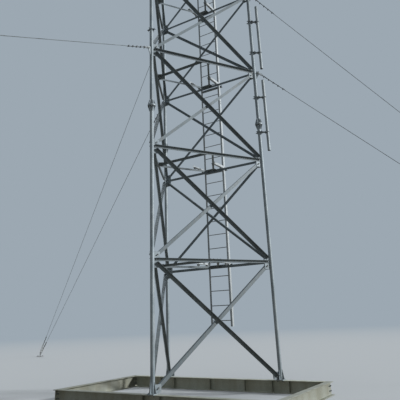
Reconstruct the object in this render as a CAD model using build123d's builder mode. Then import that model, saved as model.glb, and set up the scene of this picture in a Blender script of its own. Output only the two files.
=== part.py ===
from build123d import *
import os
from math import cos, hypot, radians, sin, sqrt

# Guyed lattice tower with three tubular legs on a frame of beams.
# Sizes are in millimetres and +Z is up. The origin is on the tower's axis, level with
# the underside of the beams.

# Tower shaft
face_width = 3000
bay_height = 2500
bay_count = 6
section_height = 6000
leg_diameter = 88.9
leg_wall = 5
leg_overrun = 200

# Base frame of rolled beams
beam_height = 250
beam_width = 140
beam_flange = 12
beam_web = 8
side_beam_spacing = 5120
beam_end_gap = 2
leg_stiffener_offset = 200
rear_stiffeners = (-280, 630)
stiffener_setback = 4
web_margin = 10
cleat_leg = 70
cleat_short_leg = 60
cleat_thickness = 8
cleat_height = 170

# Leg feet and splices
foot_size = 170
foot_thickness = 16
foot_fin_height = 200
foot_vent = 30
fin_thickness = 8
fin_toe = 15
fin_tip = 8
flange_diameter = 190
flange_thickness = 16
splice_rib_height = 130
splice_rib_count = 6
rib_setback = 6
rib_toe = 12
top_bolt_circle = 146
top_bolt_hole = 18

# Gusset plates and the bars on them
gusset_thickness = 8
gusset_height = 330
gusset_reach = 178
gusset_corner = 14
diagonal_width = 70
horizontal_width = 63
bar_thickness = 5
diagonal_end = 115
horizontal_end = 62
packing_diameter = 60

# Plan bracing at each level
plan_width = 50
plan_spread = 100
plan_setback = 50
plan_end_margin = 30
plan_plate_thickness = 6
plan_plate_length = 320
plan_plate_reach = 110
plan_plate_lap = 40

# Ladder behind the rear face
ladder_width = 600
ladder_standoff = 160
stile_depth = 75
stile_face = 50
stile_thickness = 5
ladder_foot = 1110
ladder_section = 6000
rung_diameter = 20
rung_spacing = 350
rung_margins = (140, 210, 210)
rung_setback = 40
splice_plate_length = 300
splice_plate_width = 46
splice_plate_thickness = 6
cross_angle_width = 50
cross_angle_overrun = 50
arm_width = 60
arm_lap = 20
arm_cope = 4
arm_packing = 50
arm_packing_wall = 5

# Mounting poles on the right leg, and a spare clamp on the front leg
pole_diameter = 76.1
pole_wall = 4
pole_length = 2000
pole_offset = 210
pole_levels = (2, 3)
pole_rises = (270, 125)
pole_bracket_inset = 502
cap_thickness = 6
cap_spigot = 20
clamp_plate = 10
clamp_height = 56
clamp_rod = 16
clamp_rod_clearance = 5.5
clamp_rod_tail = 36
clamp_edge = 17
bracket_tube = 36
u_bolt_rod = 12
spare_clamp_level = 3
spare_clamp_rise = 560
seat_gap = 0.3

# Guy ropes and their anchors
guy_levels = {"lower": 3, "upper": 4}
anchor_distances = {"front": 17600, "right": 9300, "left": 16600}
rope_diameter = 14
lug_thickness = 16
lug_hole = 26
lug_hole_offset = 60
lug_reach = 92
lug_rise = 45
lug_shoulder = 20
lug_tip = 10
lug_drop = 170
pin_diameter = 22
pin_overrun = 8
jaw_cheek = 8
jaw_width = 46
jaw_length = 70
screw_diameter = 20
screw_showing = 90
screw_grip = 100
rope_socket = 10
weld_overlap = 1
turnbuckle_length = 420
turnbuckle_boss = 42
turnbuckle_bar = 14
anchor_plate = 320
anchor_plate_thickness = 20
anchor_bolt_circle = 311
anchor_bolt_count = 4
anchor_bolt_hole = 22
anchor_hole_height = 100
anchor_hole_spacing = 120
anchor_lug_edge = 36
anchor_lug_margin = 45
anchor_lug_root = 110

# Places that follow from the sizes above
leg_names = ("front", "right", "left")
leg_angles = (270, 30, 150)
face_names = ("right", "rear", "left")
face_angles = (330, 90, 210)
section_names = ("lower", "middle", "top")
leg_radius = face_width / sqrt(3)
face_distance = face_width / (2 * sqrt(3))
base_height = beam_height
leg_top = base_height + bay_count * bay_height + leg_overrun
diagonal_length = hypot(face_width, bay_height)
bar_gap = gusset_thickness / 2
horizontal_top = horizontal_width / 2
rib_root = leg_diameter / 2 - leg_wall / 2


def direction(angle):
    """Level unit vector at an angle from +X."""
    return Vector(cos(radians(angle)), sin(radians(angle)), 0)


def level_height(level):
    """Height above the floor of a level of horizontals."""
    return base_height + level * bay_height


def leg_point(leg, height):
    """Point on a leg's axis at a height above the floor."""
    return direction(leg_angles[leg]) * leg_radius + Vector(0, 0, height)


def face_plane(face, height):
    """Plane of a face through both its leg axes: x from leg to leg, y up, z outward."""
    normal = direction(face_angles[face])
    return Plane(
        origin=normal * face_distance + Vector(0, 0, height),
        x_dir=direction(face_angles[face] + 90),
        z_dir=normal,
    )


def radial_plane(leg, height):
    """Upright plane through a leg: x away from the tower's axis, y up."""
    outward = direction(leg_angles[leg])
    return Plane(
        origin=leg_point(leg, height),
        x_dir=outward,
        z_dir=outward.cross(Vector(0, 0, 1)),
    )


def splice_height(number):
    """Height of a leg splice, moved up where it would meet a gusset plate."""
    nominal = base_height + number * section_height
    nearest = level_height(round((nominal - base_height) / bay_height))
    clearance = gusset_height / 2 + splice_rib_height + flange_thickness
    if abs(nominal - nearest) < clearance:
        return nearest + clearance
    return nominal


def section_ends(number):
    """Lowest and highest point of a leg section."""
    bottom = base_height if number == 0 else splice_height(number)
    top = leg_top if number == len(section_names) - 1 else splice_height(number + 1)
    return bottom, top


def block(plane, low, high, mode=Mode.ADD):
    """Box between two corners given on a plane."""
    size = [high[axis] - low[axis] for axis in range(3)]
    corner = plane.offset(low[2])
    with BuildSketch(corner) as outline:
        with Locations(((low[0] + high[0]) / 2, (low[1] + high[1]) / 2)):
            Rectangle(size[0], size[1])
    extrude(outline.sketch, amount=size[2], mode=mode)


def plate(plane, points, thickness, hole=None, hole_size=lug_hole):
    """Plate of a straight-sided outline, centred on a plane, with a hole if one is given."""
    with BuildSketch(plane) as outline:
        with BuildLine():
            Polyline(points, close=True)
        make_face()
        if hole:
            with Locations(*hole):
                Circle(hole_size / 2, mode=Mode.SUBTRACT)
    extrude(outline.sketch, amount=thickness / 2, both=True)


def rod(start, along, diameter, length):
    """Round bar from a point along a direction."""
    with BuildSketch(Plane(origin=start, z_dir=along)) as outline:
        Circle(diameter / 2)
    extrude(outline.sketch, amount=length)


def angle_bar(start, end, outward, width, projection, thickness, gap, edge):
    """Angle section between two points.

    Its flat flange is centred on the line and lies gap away from it along outward. The
    other flange projects outward from the edge at +1 or -1.
    """
    run = end - start
    with BuildSketch(Plane(origin=start, x_dir=outward, z_dir=run)) as outline:
        with BuildLine():
            Polyline(
                (gap, -edge * width / 2),
                (gap + thickness, -edge * width / 2),
                (gap + thickness, edge * (width / 2 - thickness)),
                (gap + projection, edge * (width / 2 - thickness)),
                (gap + projection, edge * width / 2),
                (gap, edge * width / 2),
                close=True,
            )
        make_face()
    extrude(outline.sketch, amount=run.length)


def gusset(leg, face, toward, height, low, high):
    """Gusset plate on a leg, in the plane of a face, between two offsets from a level."""
    plane = face_plane(face, height)
    axis = -toward * face_width / 2
    inner = axis + toward * rib_root
    outer = axis + toward * gusset_reach
    with BuildSketch(plane) as outline:
        with Locations(((inner + outer) / 2, (low + high) / 2)):
            Rectangle(abs(outer - inner), high - low)
        corners = outline.vertices().group_by(Axis((0, 0, 0), plane.x_dir * toward))[-1]
        fillet(corners, gusset_corner)
    extrude(outline.sketch, amount=gusset_thickness / 2, both=True)


def flange(leg, height, ribs_up, bolt_holes=False):
    """Round splice flange with its ribs, at the end of a leg section."""
    low = height if ribs_up else height - flange_thickness
    start = Plane(origin=leg_point(leg, low), x_dir=direction(leg_angles[leg]))
    with BuildSketch(start) as ring:
        Circle(flange_diameter / 2)
        Circle(leg_diameter / 2 - leg_wall, mode=Mode.SUBTRACT)
        if bolt_holes:
            first_hole = 180 / splice_rib_count
            with PolarLocations(top_bolt_circle / 2, splice_rib_count, start_angle=first_hole):
                Circle(top_bolt_hole / 2, mode=Mode.SUBTRACT)
    extrude(ring.sketch, amount=flange_thickness)
    sign = 1 if ribs_up else -1
    seat = height + sign * flange_thickness
    outer = flange_diameter / 2 - rib_setback
    tip = rib_root + rib_toe
    top = sign * splice_rib_height
    for number in range(splice_rib_count):
        outward = direction(leg_angles[leg] + 360 / splice_rib_count * number)
        upright = Plane(origin=leg_point(leg, seat), x_dir=outward, z_dir=outward.cross(Vector(0, 0, 1)))
        plate(
            upright,
            [(rib_root, 0), (outer, 0), (outer, sign * rib_toe), (tip, top), (rib_root, top)],
            fin_thickness,
        )


def foot(leg):
    """Square base plate with its fins, under the lowest leg section."""
    with BuildSketch(Plane(origin=leg_point(leg, base_height))) as base:
        Rectangle(foot_size, foot_size)
        Circle(foot_vent / 2, mode=Mode.SUBTRACT)
    extrude(base.sketch, amount=foot_thickness)
    gusset_angles = {(face_angles[leg] + 90) % 360, (face_angles[leg - 1] - 90) % 360}
    for angle in (0, 90, 180, 270):
        if angle in gusset_angles:
            continue
        outward = direction(angle)
        upright = Plane(
            origin=leg_point(leg, base_height + foot_thickness),
            x_dir=outward,
            z_dir=outward.cross(Vector(0, 0, 1)),
        )
        outer = foot_size / 2
        tip = rib_root + fin_tip
        plate(
            upright,
            [
                (rib_root, 0),
                (outer, 0),
                (outer, fin_toe),
                (tip, foot_fin_height),
                (rib_root, foot_fin_height),
            ],
            fin_thickness,
        )


def guy_lug(leg, height):
    """Lug on the outer side of a leg that a guy is pinned to."""
    outer = leg_diameter / 2 + lug_reach
    plate(
        radial_plane(leg, height),
        [
            (rib_root, lug_rise),
            (outer, lug_rise),
            (outer, -lug_shoulder),
            (rib_root + lug_tip, -lug_drop),
            (rib_root, -lug_drop),
        ],
        lug_thickness,
        hole=[(leg_diameter / 2 + lug_hole_offset, 0)],
    )


os.makedirs("parts", exist_ok=True)

# Legs, each in three tubular sections with the plates that are welded to it
for leg, leg_name in enumerate(leg_names):
    for section, section_name in enumerate(section_names):
        bottom, top = section_ends(section)
        tube_bottom = bottom + foot_thickness if section == 0 else bottom
        levels = [
            level
            for level in range(bay_count + 1)
            if bottom <= level_height(level) < top
        ]
        with BuildPart() as leg_section:
            with BuildSketch(Plane(origin=leg_point(leg, tube_bottom))) as ring:
                Circle(leg_diameter / 2)
                Circle(leg_diameter / 2 - leg_wall, mode=Mode.SUBTRACT)
            extrude(ring.sketch, amount=top - tube_bottom)
            if section == 0:
                foot(leg)
            else:
                flange(leg, bottom, ribs_up=True)
            flange(leg, top, ribs_up=False, bolt_holes=section == len(section_names) - 1)
            for level in levels:
                low = foot_thickness if level == 0 else -gusset_height / 2
                for face, toward in ((leg, 1), ((leg - 1) % 3, -1)):
                    gusset(leg, face, toward, level_height(level), low, gusset_height / 2)
                if level in guy_levels.values():
                    guy_lug(leg, level_height(level))
        leg_section.part.label = f"{leg_name}_leg_{section_name}"
        export_step(leg_section.part, f"parts/{leg_section.part.label}.step")

# Bars of each face: horizontals and outer diagonals outside the gusset plates, inner
# diagonals inside them
for face, face_name in enumerate(face_names):
    outward = direction(face_angles[face])
    reach = face_width / 2 - horizontal_end

    with BuildPart() as horizontals:
        for level in range(1, bay_count + 1):
            plane = face_plane(face, level_height(level))
            start = plane.from_local_coords((reach, 0, 0))
            end = plane.from_local_coords((-reach, 0, 0))
            angle_bar(
                start, end, outward, horizontal_width, horizontal_width, bar_thickness, bar_gap, 1
            )
            block(
                plane,
                (-plan_plate_length / 2, horizontal_top, bar_gap - plan_plate_reach),
                (plan_plate_length / 2, horizontal_top + plan_plate_thickness, bar_gap + plan_plate_lap),
            )
    horizontals.part.label = f"{face_name}_horizontals"
    export_step(horizontals.part, f"parts/{horizontals.part.label}.step")

    trim = diagonal_end / diagonal_length
    with BuildPart() as outer_diagonals:
        for bay in range(bay_count):
            plane = face_plane(face, level_height(bay))
            high = plane.from_local_coords((-face_width / 2, bay_height, 0))
            low = plane.from_local_coords((face_width / 2, 0, 0))
            run = low - high
            angle_bar(
                low - run * trim,
                high + run * trim,
                outward,
                diagonal_width,
                diagonal_width,
                bar_thickness,
                bar_gap,
                1,
            )
    outer_diagonals.part.label = f"{face_name}_outer_diagonals"
    export_step(outer_diagonals.part, f"parts/{outer_diagonals.part.label}.step")

    with BuildPart() as inner_diagonals:
        for bay in range(bay_count):
            plane = face_plane(face, level_height(bay))
            low = plane.from_local_coords((-face_width / 2, 0, 0))
            high = plane.from_local_coords((face_width / 2, bay_height, 0))
            run = high - low
            angle_bar(
                low + run * trim,
                high - run * trim,
                -outward,
                diagonal_width,
                diagonal_width,
                bar_thickness,
                bar_gap,
                1,
            )
            crossing = plane.from_local_coords((0, bay_height / 2, -bar_gap))
            rod(crossing, outward, packing_diameter, gusset_thickness)
    inner_diagonals.part.label = f"{face_name}_inner_diagonals"
    export_step(inner_diagonals.part, f"parts/{inner_diagonals.part.label}.step")

# Plan bracing: at each level three bars join the middles of the horizontals
for leg, leg_name in enumerate(leg_names):
    with BuildPart() as plan_braces:
        for level in range(1, bay_count + 1):
            height = level_height(level) + horizontal_top
            first = face_plane((leg - 1) % 3, height)
            second = face_plane(leg, height)
            start = first.from_local_coords((plan_spread, 0, -plan_setback))
            end = second.from_local_coords((-plan_spread, 0, -plan_setback))
            along = (end - start).normalized()
            angle_bar(
                start - along * plan_end_margin,
                end + along * plan_end_margin,
                Vector(0, 0, -1),
                plan_width,
                plan_width,
                bar_thickness,
                0,
                1,
            )
    plan_braces.part.label = f"{leg_name}_plan_braces"
    export_step(plan_braces.part, f"parts/{plan_braces.part.label}.step")

# Base frame: beams under the legs between two side beams that run past them
front_y = -leg_radius
rear_y = face_distance
side_x = side_beam_spacing / 2


def beam_outline(plane):
    """Section of a rolled beam standing on the floor."""
    with BuildSketch(plane) as outline:
        with Locations((0, beam_flange / 2), (0, beam_height - beam_flange / 2)):
            Rectangle(beam_width, beam_flange)
        with Locations((0, beam_height / 2)):
            Rectangle(beam_web, beam_height)
    return outline.sketch


def cross_beam(y_place, stiffeners):
    """Beam along X between the side beams, with its web run on to theirs."""
    half = side_x - beam_width / 2 - beam_end_gap
    plane = Plane(origin=(-half, y_place, 0), x_dir=(0, 1, 0), z_dir=(1, 0, 0))
    extrude(beam_outline(plane), amount=2 * half)
    web_end = side_x - beam_web / 2
    upright = Plane(origin=(0, y_place, 0), x_dir=(1, 0, 0), z_dir=(0, -1, 0))
    web_low = beam_height / 2 - cleat_height / 2 - web_margin
    block(upright, (-web_end, web_low, -beam_web / 2), (web_end, beam_height - web_low, beam_web / 2))
    reach = beam_width / 2 - stiffener_setback
    for place in stiffeners:
        block(
            upright,
            (place - fin_thickness / 2, beam_flange, -reach),
            (place + fin_thickness / 2, beam_height - beam_flange, reach),
        )


with BuildPart() as front_beam:
    cross_beam(front_y, (-leg_stiffener_offset, leg_stiffener_offset))
front_beam.part.label = "front_beam"
export_step(front_beam.part, "parts/front_beam.step")

with BuildPart() as rear_beam:
    leg_stiffeners = [
        side * face_width / 2 + offset
        for side in (-1, 1)
        for offset in (-leg_stiffener_offset, leg_stiffener_offset)
    ]
    cross_beam(rear_y, [*leg_stiffeners, *rear_stiffeners])
rear_beam.part.label = "rear_beam"
export_step(rear_beam.part, "parts/rear_beam.step")

side_start = front_y - beam_width / 2
side_length = rear_y - front_y + beam_width
for side_name, side in (("left", -1), ("right", 1)):
    with BuildPart() as side_beam:
        plane = Plane(origin=(side * side_x, side_start, 0), x_dir=(-1, 0, 0), z_dir=(0, 1, 0))
        extrude(beam_outline(plane), amount=side_length)
    side_beam.part.label = f"{side_name}_side_beam"
    export_step(side_beam.part, f"parts/{side_beam.part.label}.step")

with BuildPart() as beam_cleats:
    for side in (-1, 1):
        for y_place in (front_y, rear_y):
            for hand in (-1, 1):
                corner = Plane(
                    origin=(side * (side_x - beam_web / 2), y_place + hand * beam_web / 2, 0),
                    x_dir=(-side, 0, 0),
                    z_dir=(0, 0, 1),
                )
                turn = -side * hand
                low = beam_height / 2 - cleat_height / 2
                with BuildSketch(corner.offset(low)) as outline:
                    with BuildLine():
                        Polyline(
                            (0, 0),
                            (cleat_leg, 0),
                            (cleat_leg, turn * cleat_thickness),
                            (cleat_thickness, turn * cleat_thickness),
                            (cleat_thickness, turn * cleat_short_leg),
                            (0, turn * cleat_short_leg),
                            close=True,
                        )
                    make_face()
                extrude(outline.sketch, amount=cleat_height)
beam_cleats.part.label = "beam_cleats"
export_step(beam_cleats.part, "parts/beam_cleats.step")

# Ladder: angle stiles with their legs pointing back, and round rungs between them
ladder_front = face_distance + ladder_standoff
ladder_foot_height = base_height + ladder_foot
ladder_starts = [ladder_foot_height + ladder_section * number for number in range(len(section_names))]
ladder_ends = [*ladder_starts[1:], leg_top]
rung_y = ladder_front + rung_setback
for number, section_name in enumerate(section_names):
    start = ladder_starts[number]
    end = ladder_ends[number]
    with BuildPart() as ladder:
        for side in (-1, 1):
            with BuildSketch(Plane(origin=(side * ladder_width / 2, ladder_front, start))) as outline:
                with BuildLine():
                    Polyline(
                        (0, 0),
                        (-side * stile_face, 0),
                        (-side * stile_face, stile_thickness),
                        (-side * stile_thickness, stile_thickness),
                        (-side * stile_thickness, stile_depth),
                        (0, stile_depth),
                        close=True,
                    )
                make_face()
            extrude(outline.sketch, amount=end - start)
        rung_length = ladder_width - stile_thickness
        height = start + rung_margins[number]
        while height < end - rung_diameter:
            rod(Vector(-rung_length / 2, rung_y, height), Vector(1, 0, 0), rung_diameter, rung_length)
            height += rung_spacing
    ladder.part.label = f"ladder_{section_name}"
    export_step(ladder.part, f"parts/{ladder.part.label}.step")

with BuildPart() as ladder_splice_plates:
    inner = ladder_width / 2 - stile_thickness
    middle = ladder_front + (stile_thickness + stile_depth) / 2
    for joint in ladder_starts[1:]:
        for side in (-1, 1):
            edges = sorted((side * inner, side * (inner - splice_plate_thickness)))
            block(
                Plane.XY,
                (edges[0], middle - splice_plate_width / 2, joint - splice_plate_length / 2),
                (edges[1], middle + splice_plate_width / 2, joint + splice_plate_length / 2),
            )
ladder_splice_plates.part.label = "ladder_splice_plates"
export_step(ladder_splice_plates.part, "parts/ladder_splice_plates.step")

# Ladder brackets: two arms a level, on packing over the plan bracing and the rear
# horizontal, and a cross angle behind the stiles that the arms' ends lie on
ladder_back = ladder_front + stile_depth
packing_x = ladder_width / 2 + bar_thickness - arm_packing / 2
brace_crossing = face_distance - plan_setback - (packing_x - plan_spread) * sqrt(3)
horizontal_middle = face_distance + bar_gap + horizontal_width / 2
with BuildPart() as ladder_arms:
    for level in range(1, bay_count + 1):
        packing_foot = level_height(level) + horizontal_top
        packing_top = packing_foot + arm_packing
        for side in (-1, 1):
            start = Vector(
                side * (ladder_width / 2 + bar_thickness),
                brace_crossing - arm_packing / 2 - arm_lap,
                packing_top + arm_width / 2,
            )
            end = Vector(start.X, ladder_front - arm_cope, start.Z)
            angle_bar(start, end, Vector(-side, 0, 0), arm_width, arm_width, bar_thickness, 0, -side)
            edges = sorted((side * ladder_width / 2, start.X))
            block(
                Plane.XY,
                (edges[0], end.Y, packing_top),
                (edges[1], ladder_back + bar_thickness, packing_top + arm_width),
            )
            for middle in (brace_crossing, horizontal_middle):
                plane = Plane(origin=(side * packing_x, middle, packing_foot))
                half = arm_packing / 2
                bore = half - arm_packing_wall
                block(plane, (-half, -half, 0), (half, half, arm_packing))
                block(
                    plane,
                    (-half, -bore, arm_packing_wall),
                    (half, bore, arm_packing - arm_packing_wall),
                    Mode.SUBTRACT,
                )
ladder_arms.part.label = "ladder_arms"
export_step(ladder_arms.part, "parts/ladder_arms.step")

with BuildPart() as ladder_cross_angles:
    for level in range(1, bay_count + 1):
        start = Vector(
            -ladder_width / 2 - cross_angle_overrun,
            ladder_back,
            level_height(level) + horizontal_top + arm_packing - cross_angle_width / 2,
        )
        end = Vector(-start.X, start.Y, start.Z)
        angle_bar(start, end, Vector(0, 1, 0), cross_angle_width, cross_angle_width, bar_thickness, 0, -1)
ladder_cross_angles.part.label = "ladder_cross_angles"
export_step(ladder_cross_angles.part, "parts/ladder_cross_angles.step")

# Mounting poles beside the right leg, with their caps and clamp brackets
right_leg = leg_names.index("right")
pole_out = direction(leg_angles[right_leg])
pole_point = pole_out * (leg_radius + pole_offset)
pole_starts = [level_height(level) + rise for level, rise in zip(pole_levels, pole_rises)]
clamp_seat = leg_diameter / 2 + seat_gap
clamp_rod_place = leg_diameter / 2 + clamp_rod_clearance + clamp_rod / 2
clamp_half_width = clamp_rod_place + clamp_edge


def clamp(plane):
    """Two plates drawn together round a leg by two threaded rods along the plane's x."""
    half = clamp_height / 2
    for low, high in ((clamp_seat, clamp_seat + clamp_plate), (-clamp_seat - clamp_plate, -clamp_seat)):
        block(plane, (low, -clamp_half_width, -half), (high, clamp_half_width, half))
    rod_reach = clamp_seat + clamp_plate + clamp_rod_tail
    for side in (-1, 1):
        start = plane.from_local_coords((-rod_reach, side * clamp_rod_place, 0))
        rod(start, plane.x_dir, clamp_rod, 2 * rod_reach)


def pole_bracket(height):
    """Tube from a clamp round the leg to a plate and a U-bolt round the pole."""
    plane = Plane(origin=leg_point(right_leg, height), x_dir=pole_out)
    clamp(plane)
    plate_outer = pole_offset - pole_diameter / 2 - seat_gap
    plate_inner = plate_outer - clamp_plate
    half = clamp_height / 2
    block(plane, (plate_inner, -clamp_half_width, -half), (plate_outer, clamp_half_width, half))
    block(
        plane,
        (clamp_seat + clamp_plate, -bracket_tube / 2, -bracket_tube / 2),
        (plate_inner, bracket_tube / 2, bracket_tube / 2),
    )
    bend = pole_diameter / 2 + seat_gap + u_bolt_rod / 2
    tail = plate_inner - clamp_rod_tail
    for side in (-1, 1):
        start = plane.from_local_coords((tail, side * bend, 0))
        rod(start, pole_out, u_bolt_rod, pole_offset - tail)
    section = Plane(
        origin=plane.from_local_coords((pole_offset, bend, 0)),
        x_dir=plane.y_dir,
        z_dir=pole_out,
    )
    with BuildSketch(section) as outline:
        Circle(u_bolt_rod / 2)
    turn_axis = Axis(plane.from_local_coords((pole_offset, 0, 0)), (0, 0, 1))
    revolve(outline.sketch, axis=turn_axis, revolution_arc=-180)


with BuildPart() as mounting_poles:
    for start in pole_starts:
        with BuildSketch(Plane(origin=pole_point + Vector(0, 0, start))) as ring:
            Circle(pole_diameter / 2)
            Circle(pole_diameter / 2 - pole_wall, mode=Mode.SUBTRACT)
        extrude(ring.sketch, amount=pole_length)
mounting_poles.part.label = "mounting_poles"
export_step(mounting_poles.part, "parts/mounting_poles.step")

with BuildPart() as pole_brackets:
    for start in pole_starts:
        for height in (start + pole_bracket_inset, start + pole_length - pole_bracket_inset):
            pole_bracket(height)
pole_brackets.part.label = "pole_brackets"
export_step(pole_brackets.part, "parts/pole_brackets.step")

with BuildPart() as pole_caps:
    for start in pole_starts:
        for end, outside in ((start, -1), (start + pole_length, 1)):
            seat = pole_point + Vector(0, 0, end)
            outward = Vector(0, 0, outside)
            rod(seat, outward, pole_diameter, cap_thickness)
            rod(seat, -outward, pole_diameter - 2 * pole_wall - 2 * seat_gap, cap_spigot)
pole_caps.part.label = "pole_caps"
export_step(pole_caps.part, "parts/pole_caps.step")

# Spare clamp on the front leg, its rods along the right face
front_leg = leg_names.index("front")
with BuildPart() as front_leg_clamp:
    spare_height = level_height(spare_clamp_level) + spare_clamp_rise
    clamp(Plane(origin=leg_point(front_leg, spare_height), x_dir=direction(face_angles[front_leg] + 90)))
front_leg_clamp.part.label = "front_leg_clamp"
export_step(front_leg_clamp.part, "parts/front_leg_clamp.step")


# Guy ropes: pinned to a lug on the leg, with a turnbuckle pinned to the anchor's lug
def jaw(pin_point, along, sideways):
    """Two cheeks, their pin and the block that joins them, on a lug's hole."""
    plane = Plane(origin=pin_point, x_dir=along, z_dir=sideways)
    inner = lug_thickness / 2 + seat_gap
    outer = inner + jaw_cheek
    half = jaw_width / 2
    for low, high in ((-outer, -inner), (inner, outer)):
        block(plane, (-half, -half, low), (jaw_length, half, high))
    block(plane, (jaw_length - jaw_cheek * 2, -half, -inner), (jaw_length, half, inner))
    pin_half = outer + pin_overrun
    rod(pin_point - sideways * pin_half, sideways, pin_diameter, 2 * pin_half)


for leg, leg_name in enumerate(leg_names):
    outward = direction(leg_angles[leg])
    sideways = outward.cross(Vector(0, 0, 1))
    lug_out = outward * (leg_diameter / 2 + lug_hole_offset)
    top_pins = {
        guy_name: leg_point(leg, level_height(level)) + lug_out
        for guy_name, level in guy_levels.items()
    }
    foot_point = leg_point(leg, 0) + outward * anchor_distances[leg_name]
    low_hole = foot_point + Vector(0, 0, anchor_hole_height)
    pull = ((top_pins["lower"] + top_pins["upper"]) / 2 - low_hole).normalized()
    across = pull.cross(sideways)
    foot_pins = {"lower": low_hole, "upper": low_hole + across * anchor_hole_spacing}
    for guy_name, top_pin in top_pins.items():
        foot_pin = foot_pins[guy_name]
        run = (foot_pin - top_pin).normalized()
        length = (foot_pin - top_pin).length
        body_start = length - jaw_length - screw_showing - turnbuckle_length
        body = Plane(origin=top_pin + run * body_start, x_dir=sideways, z_dir=run)
        boss_place = turnbuckle_length - turnbuckle_boss
        bar_place = turnbuckle_boss / 2
        rope_start = jaw_length - weld_overlap
        rope_end = body_start - screw_showing + rope_socket
        screw_length = screw_showing + screw_grip
        with BuildPart() as guy:
            jaw(top_pin, run, sideways)
            jaw(foot_pin, -run, sideways)
            rod(top_pin + run * rope_start, run, rope_diameter, rope_end - rope_start)
            rod(top_pin + run * (body_start - screw_showing), run, screw_diameter, screw_length)
            rod(foot_pin - run * rope_start, -run, screw_diameter, screw_length)
            for place in (0, boss_place):
                rod(body.from_local_coords((0, 0, place)), run, turnbuckle_boss, turnbuckle_boss)
            for side in (-1, 1):
                centre = side * (bar_place + turnbuckle_bar / 4)
                block(
                    body,
                    (centre - turnbuckle_bar / 2, -turnbuckle_bar / 2, 0),
                    (centre + turnbuckle_bar / 2, turnbuckle_bar / 2, turnbuckle_length),
                )
        guy.part.label = f"{leg_name}_{guy_name}_guy"
        export_step(guy.part, f"parts/{guy.part.label}.step")
        print(guy.part.label, "from pin to pin", round(length))

    with BuildPart() as anchor:
        with BuildSketch(Plane(origin=foot_point, x_dir=outward)) as base:
            Rectangle(anchor_plate, anchor_plate)
            first_hole = 180 / anchor_bolt_count
            with PolarLocations(anchor_bolt_circle / 2, anchor_bolt_count, start_angle=first_hole):
                Circle(anchor_bolt_hole / 2, mode=Mode.SUBTRACT)
        extrude(base.sketch, amount=anchor_plate_thickness)
        lug = Plane(origin=foot_point, x_dir=outward, z_dir=sideways)
        near = pull * anchor_lug_edge
        far = pull * -anchor_lug_margin
        margin = across * anchor_lug_margin
        corners = [
            foot_pins["lower"] + near - margin,
            foot_pins["upper"] + near + margin,
            foot_pins["upper"] + far + margin,
        ]
        holes = [lug.to_local_coords(pin) for pin in foot_pins.values()]
        plate(
            lug,
            [
                (anchor_lug_root, anchor_plate_thickness - weld_overlap),
                (-anchor_lug_root, anchor_plate_thickness - weld_overlap),
                *[(lug.to_local_coords(corner).X, lug.to_local_coords(corner).Y) for corner in corners],
            ],
            lug_thickness,
            hole=[(hole.X, hole.Y) for hole in holes],
        )
    anchor.part.label = f"{leg_name}_anchor"
    export_step(anchor.part, f"parts/{anchor.part.label}.step")
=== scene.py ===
import logging
import random
from dataclasses import dataclass, field
from enum import Enum
from math import cos, pi, radians, sin, sqrt, tau
from typing import Iterable, Optional, Sequence

import bmesh
import bpy
from bpy.types import ID, Material, Mesh, Node, NodeSocket as Socket, NodeTree, Object
from mathutils import Matrix, Vector
from mathutils.geometry import tessellate_polygon


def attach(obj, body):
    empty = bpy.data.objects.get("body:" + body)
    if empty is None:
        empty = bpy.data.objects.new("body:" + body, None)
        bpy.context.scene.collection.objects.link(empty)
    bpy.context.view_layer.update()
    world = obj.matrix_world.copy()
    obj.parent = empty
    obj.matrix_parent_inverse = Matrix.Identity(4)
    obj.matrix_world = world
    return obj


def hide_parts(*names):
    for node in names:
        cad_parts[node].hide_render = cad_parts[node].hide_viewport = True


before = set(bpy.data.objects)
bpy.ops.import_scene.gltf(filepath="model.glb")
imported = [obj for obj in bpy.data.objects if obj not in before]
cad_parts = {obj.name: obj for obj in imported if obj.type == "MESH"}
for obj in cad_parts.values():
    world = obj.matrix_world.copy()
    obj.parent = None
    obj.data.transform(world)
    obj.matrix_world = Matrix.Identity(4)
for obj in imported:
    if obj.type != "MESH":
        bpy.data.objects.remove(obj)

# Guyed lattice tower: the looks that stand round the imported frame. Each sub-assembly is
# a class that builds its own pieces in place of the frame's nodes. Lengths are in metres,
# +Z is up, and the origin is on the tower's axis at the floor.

log = logging.getLogger("tower")

Outline = list[tuple[float, float]]
Line = list[tuple[float, float, float]]
Seam = tuple[float, float, float, float]
Sockets = dict[int | str, object]
X_AXIS = Vector((1.0, 0.0, 0.0))
Y_AXIS = Vector((0.0, 1.0, 0.0))
UP = Vector((0.0, 0.0, 1.0))
WELD_RADIUS = 0.0045
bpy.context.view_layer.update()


class Leg(Enum):
    """The three legs, by the angle from +X at which each one stands."""

    FRONT = 270
    RIGHT = 30
    LEFT = 150


class Face(Enum):
    """The three faces, by the angle from +X that each one looks to."""

    RIGHT = 330
    REAR = 90
    LEFT = 210


LEGS = (Leg.FRONT, Leg.RIGHT, Leg.LEFT)
FACES = (Face.RIGHT, Face.REAR, Face.LEFT)


def heading(degrees: float) -> Vector:
    """Level unit vector at an angle from +X."""
    return Vector((cos(radians(degrees)), sin(radians(degrees)), 0.0))


@dataclass(frozen=True)
class Place:
    """A plane to build on, given by its origin and its x and y directions."""

    origin: Vector
    x: Vector
    y: Vector

    @property
    def z(self) -> Vector:
        """The direction that the plane looks to."""
        return self.x.cross(self.y)

    def at(self, a: float, b: float, c: float = 0.0) -> Vector:
        """Point at the offsets a, b and c along x, y and z."""
        return self.origin + self.x * a + self.y * b + self.z * c

    def moved(self, a: float, b: float, c: float = 0.0) -> "Place":
        """The same plane with its origin at the offsets a, b and c."""
        return Place(self.at(a, b, c), self.x, self.y)


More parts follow.
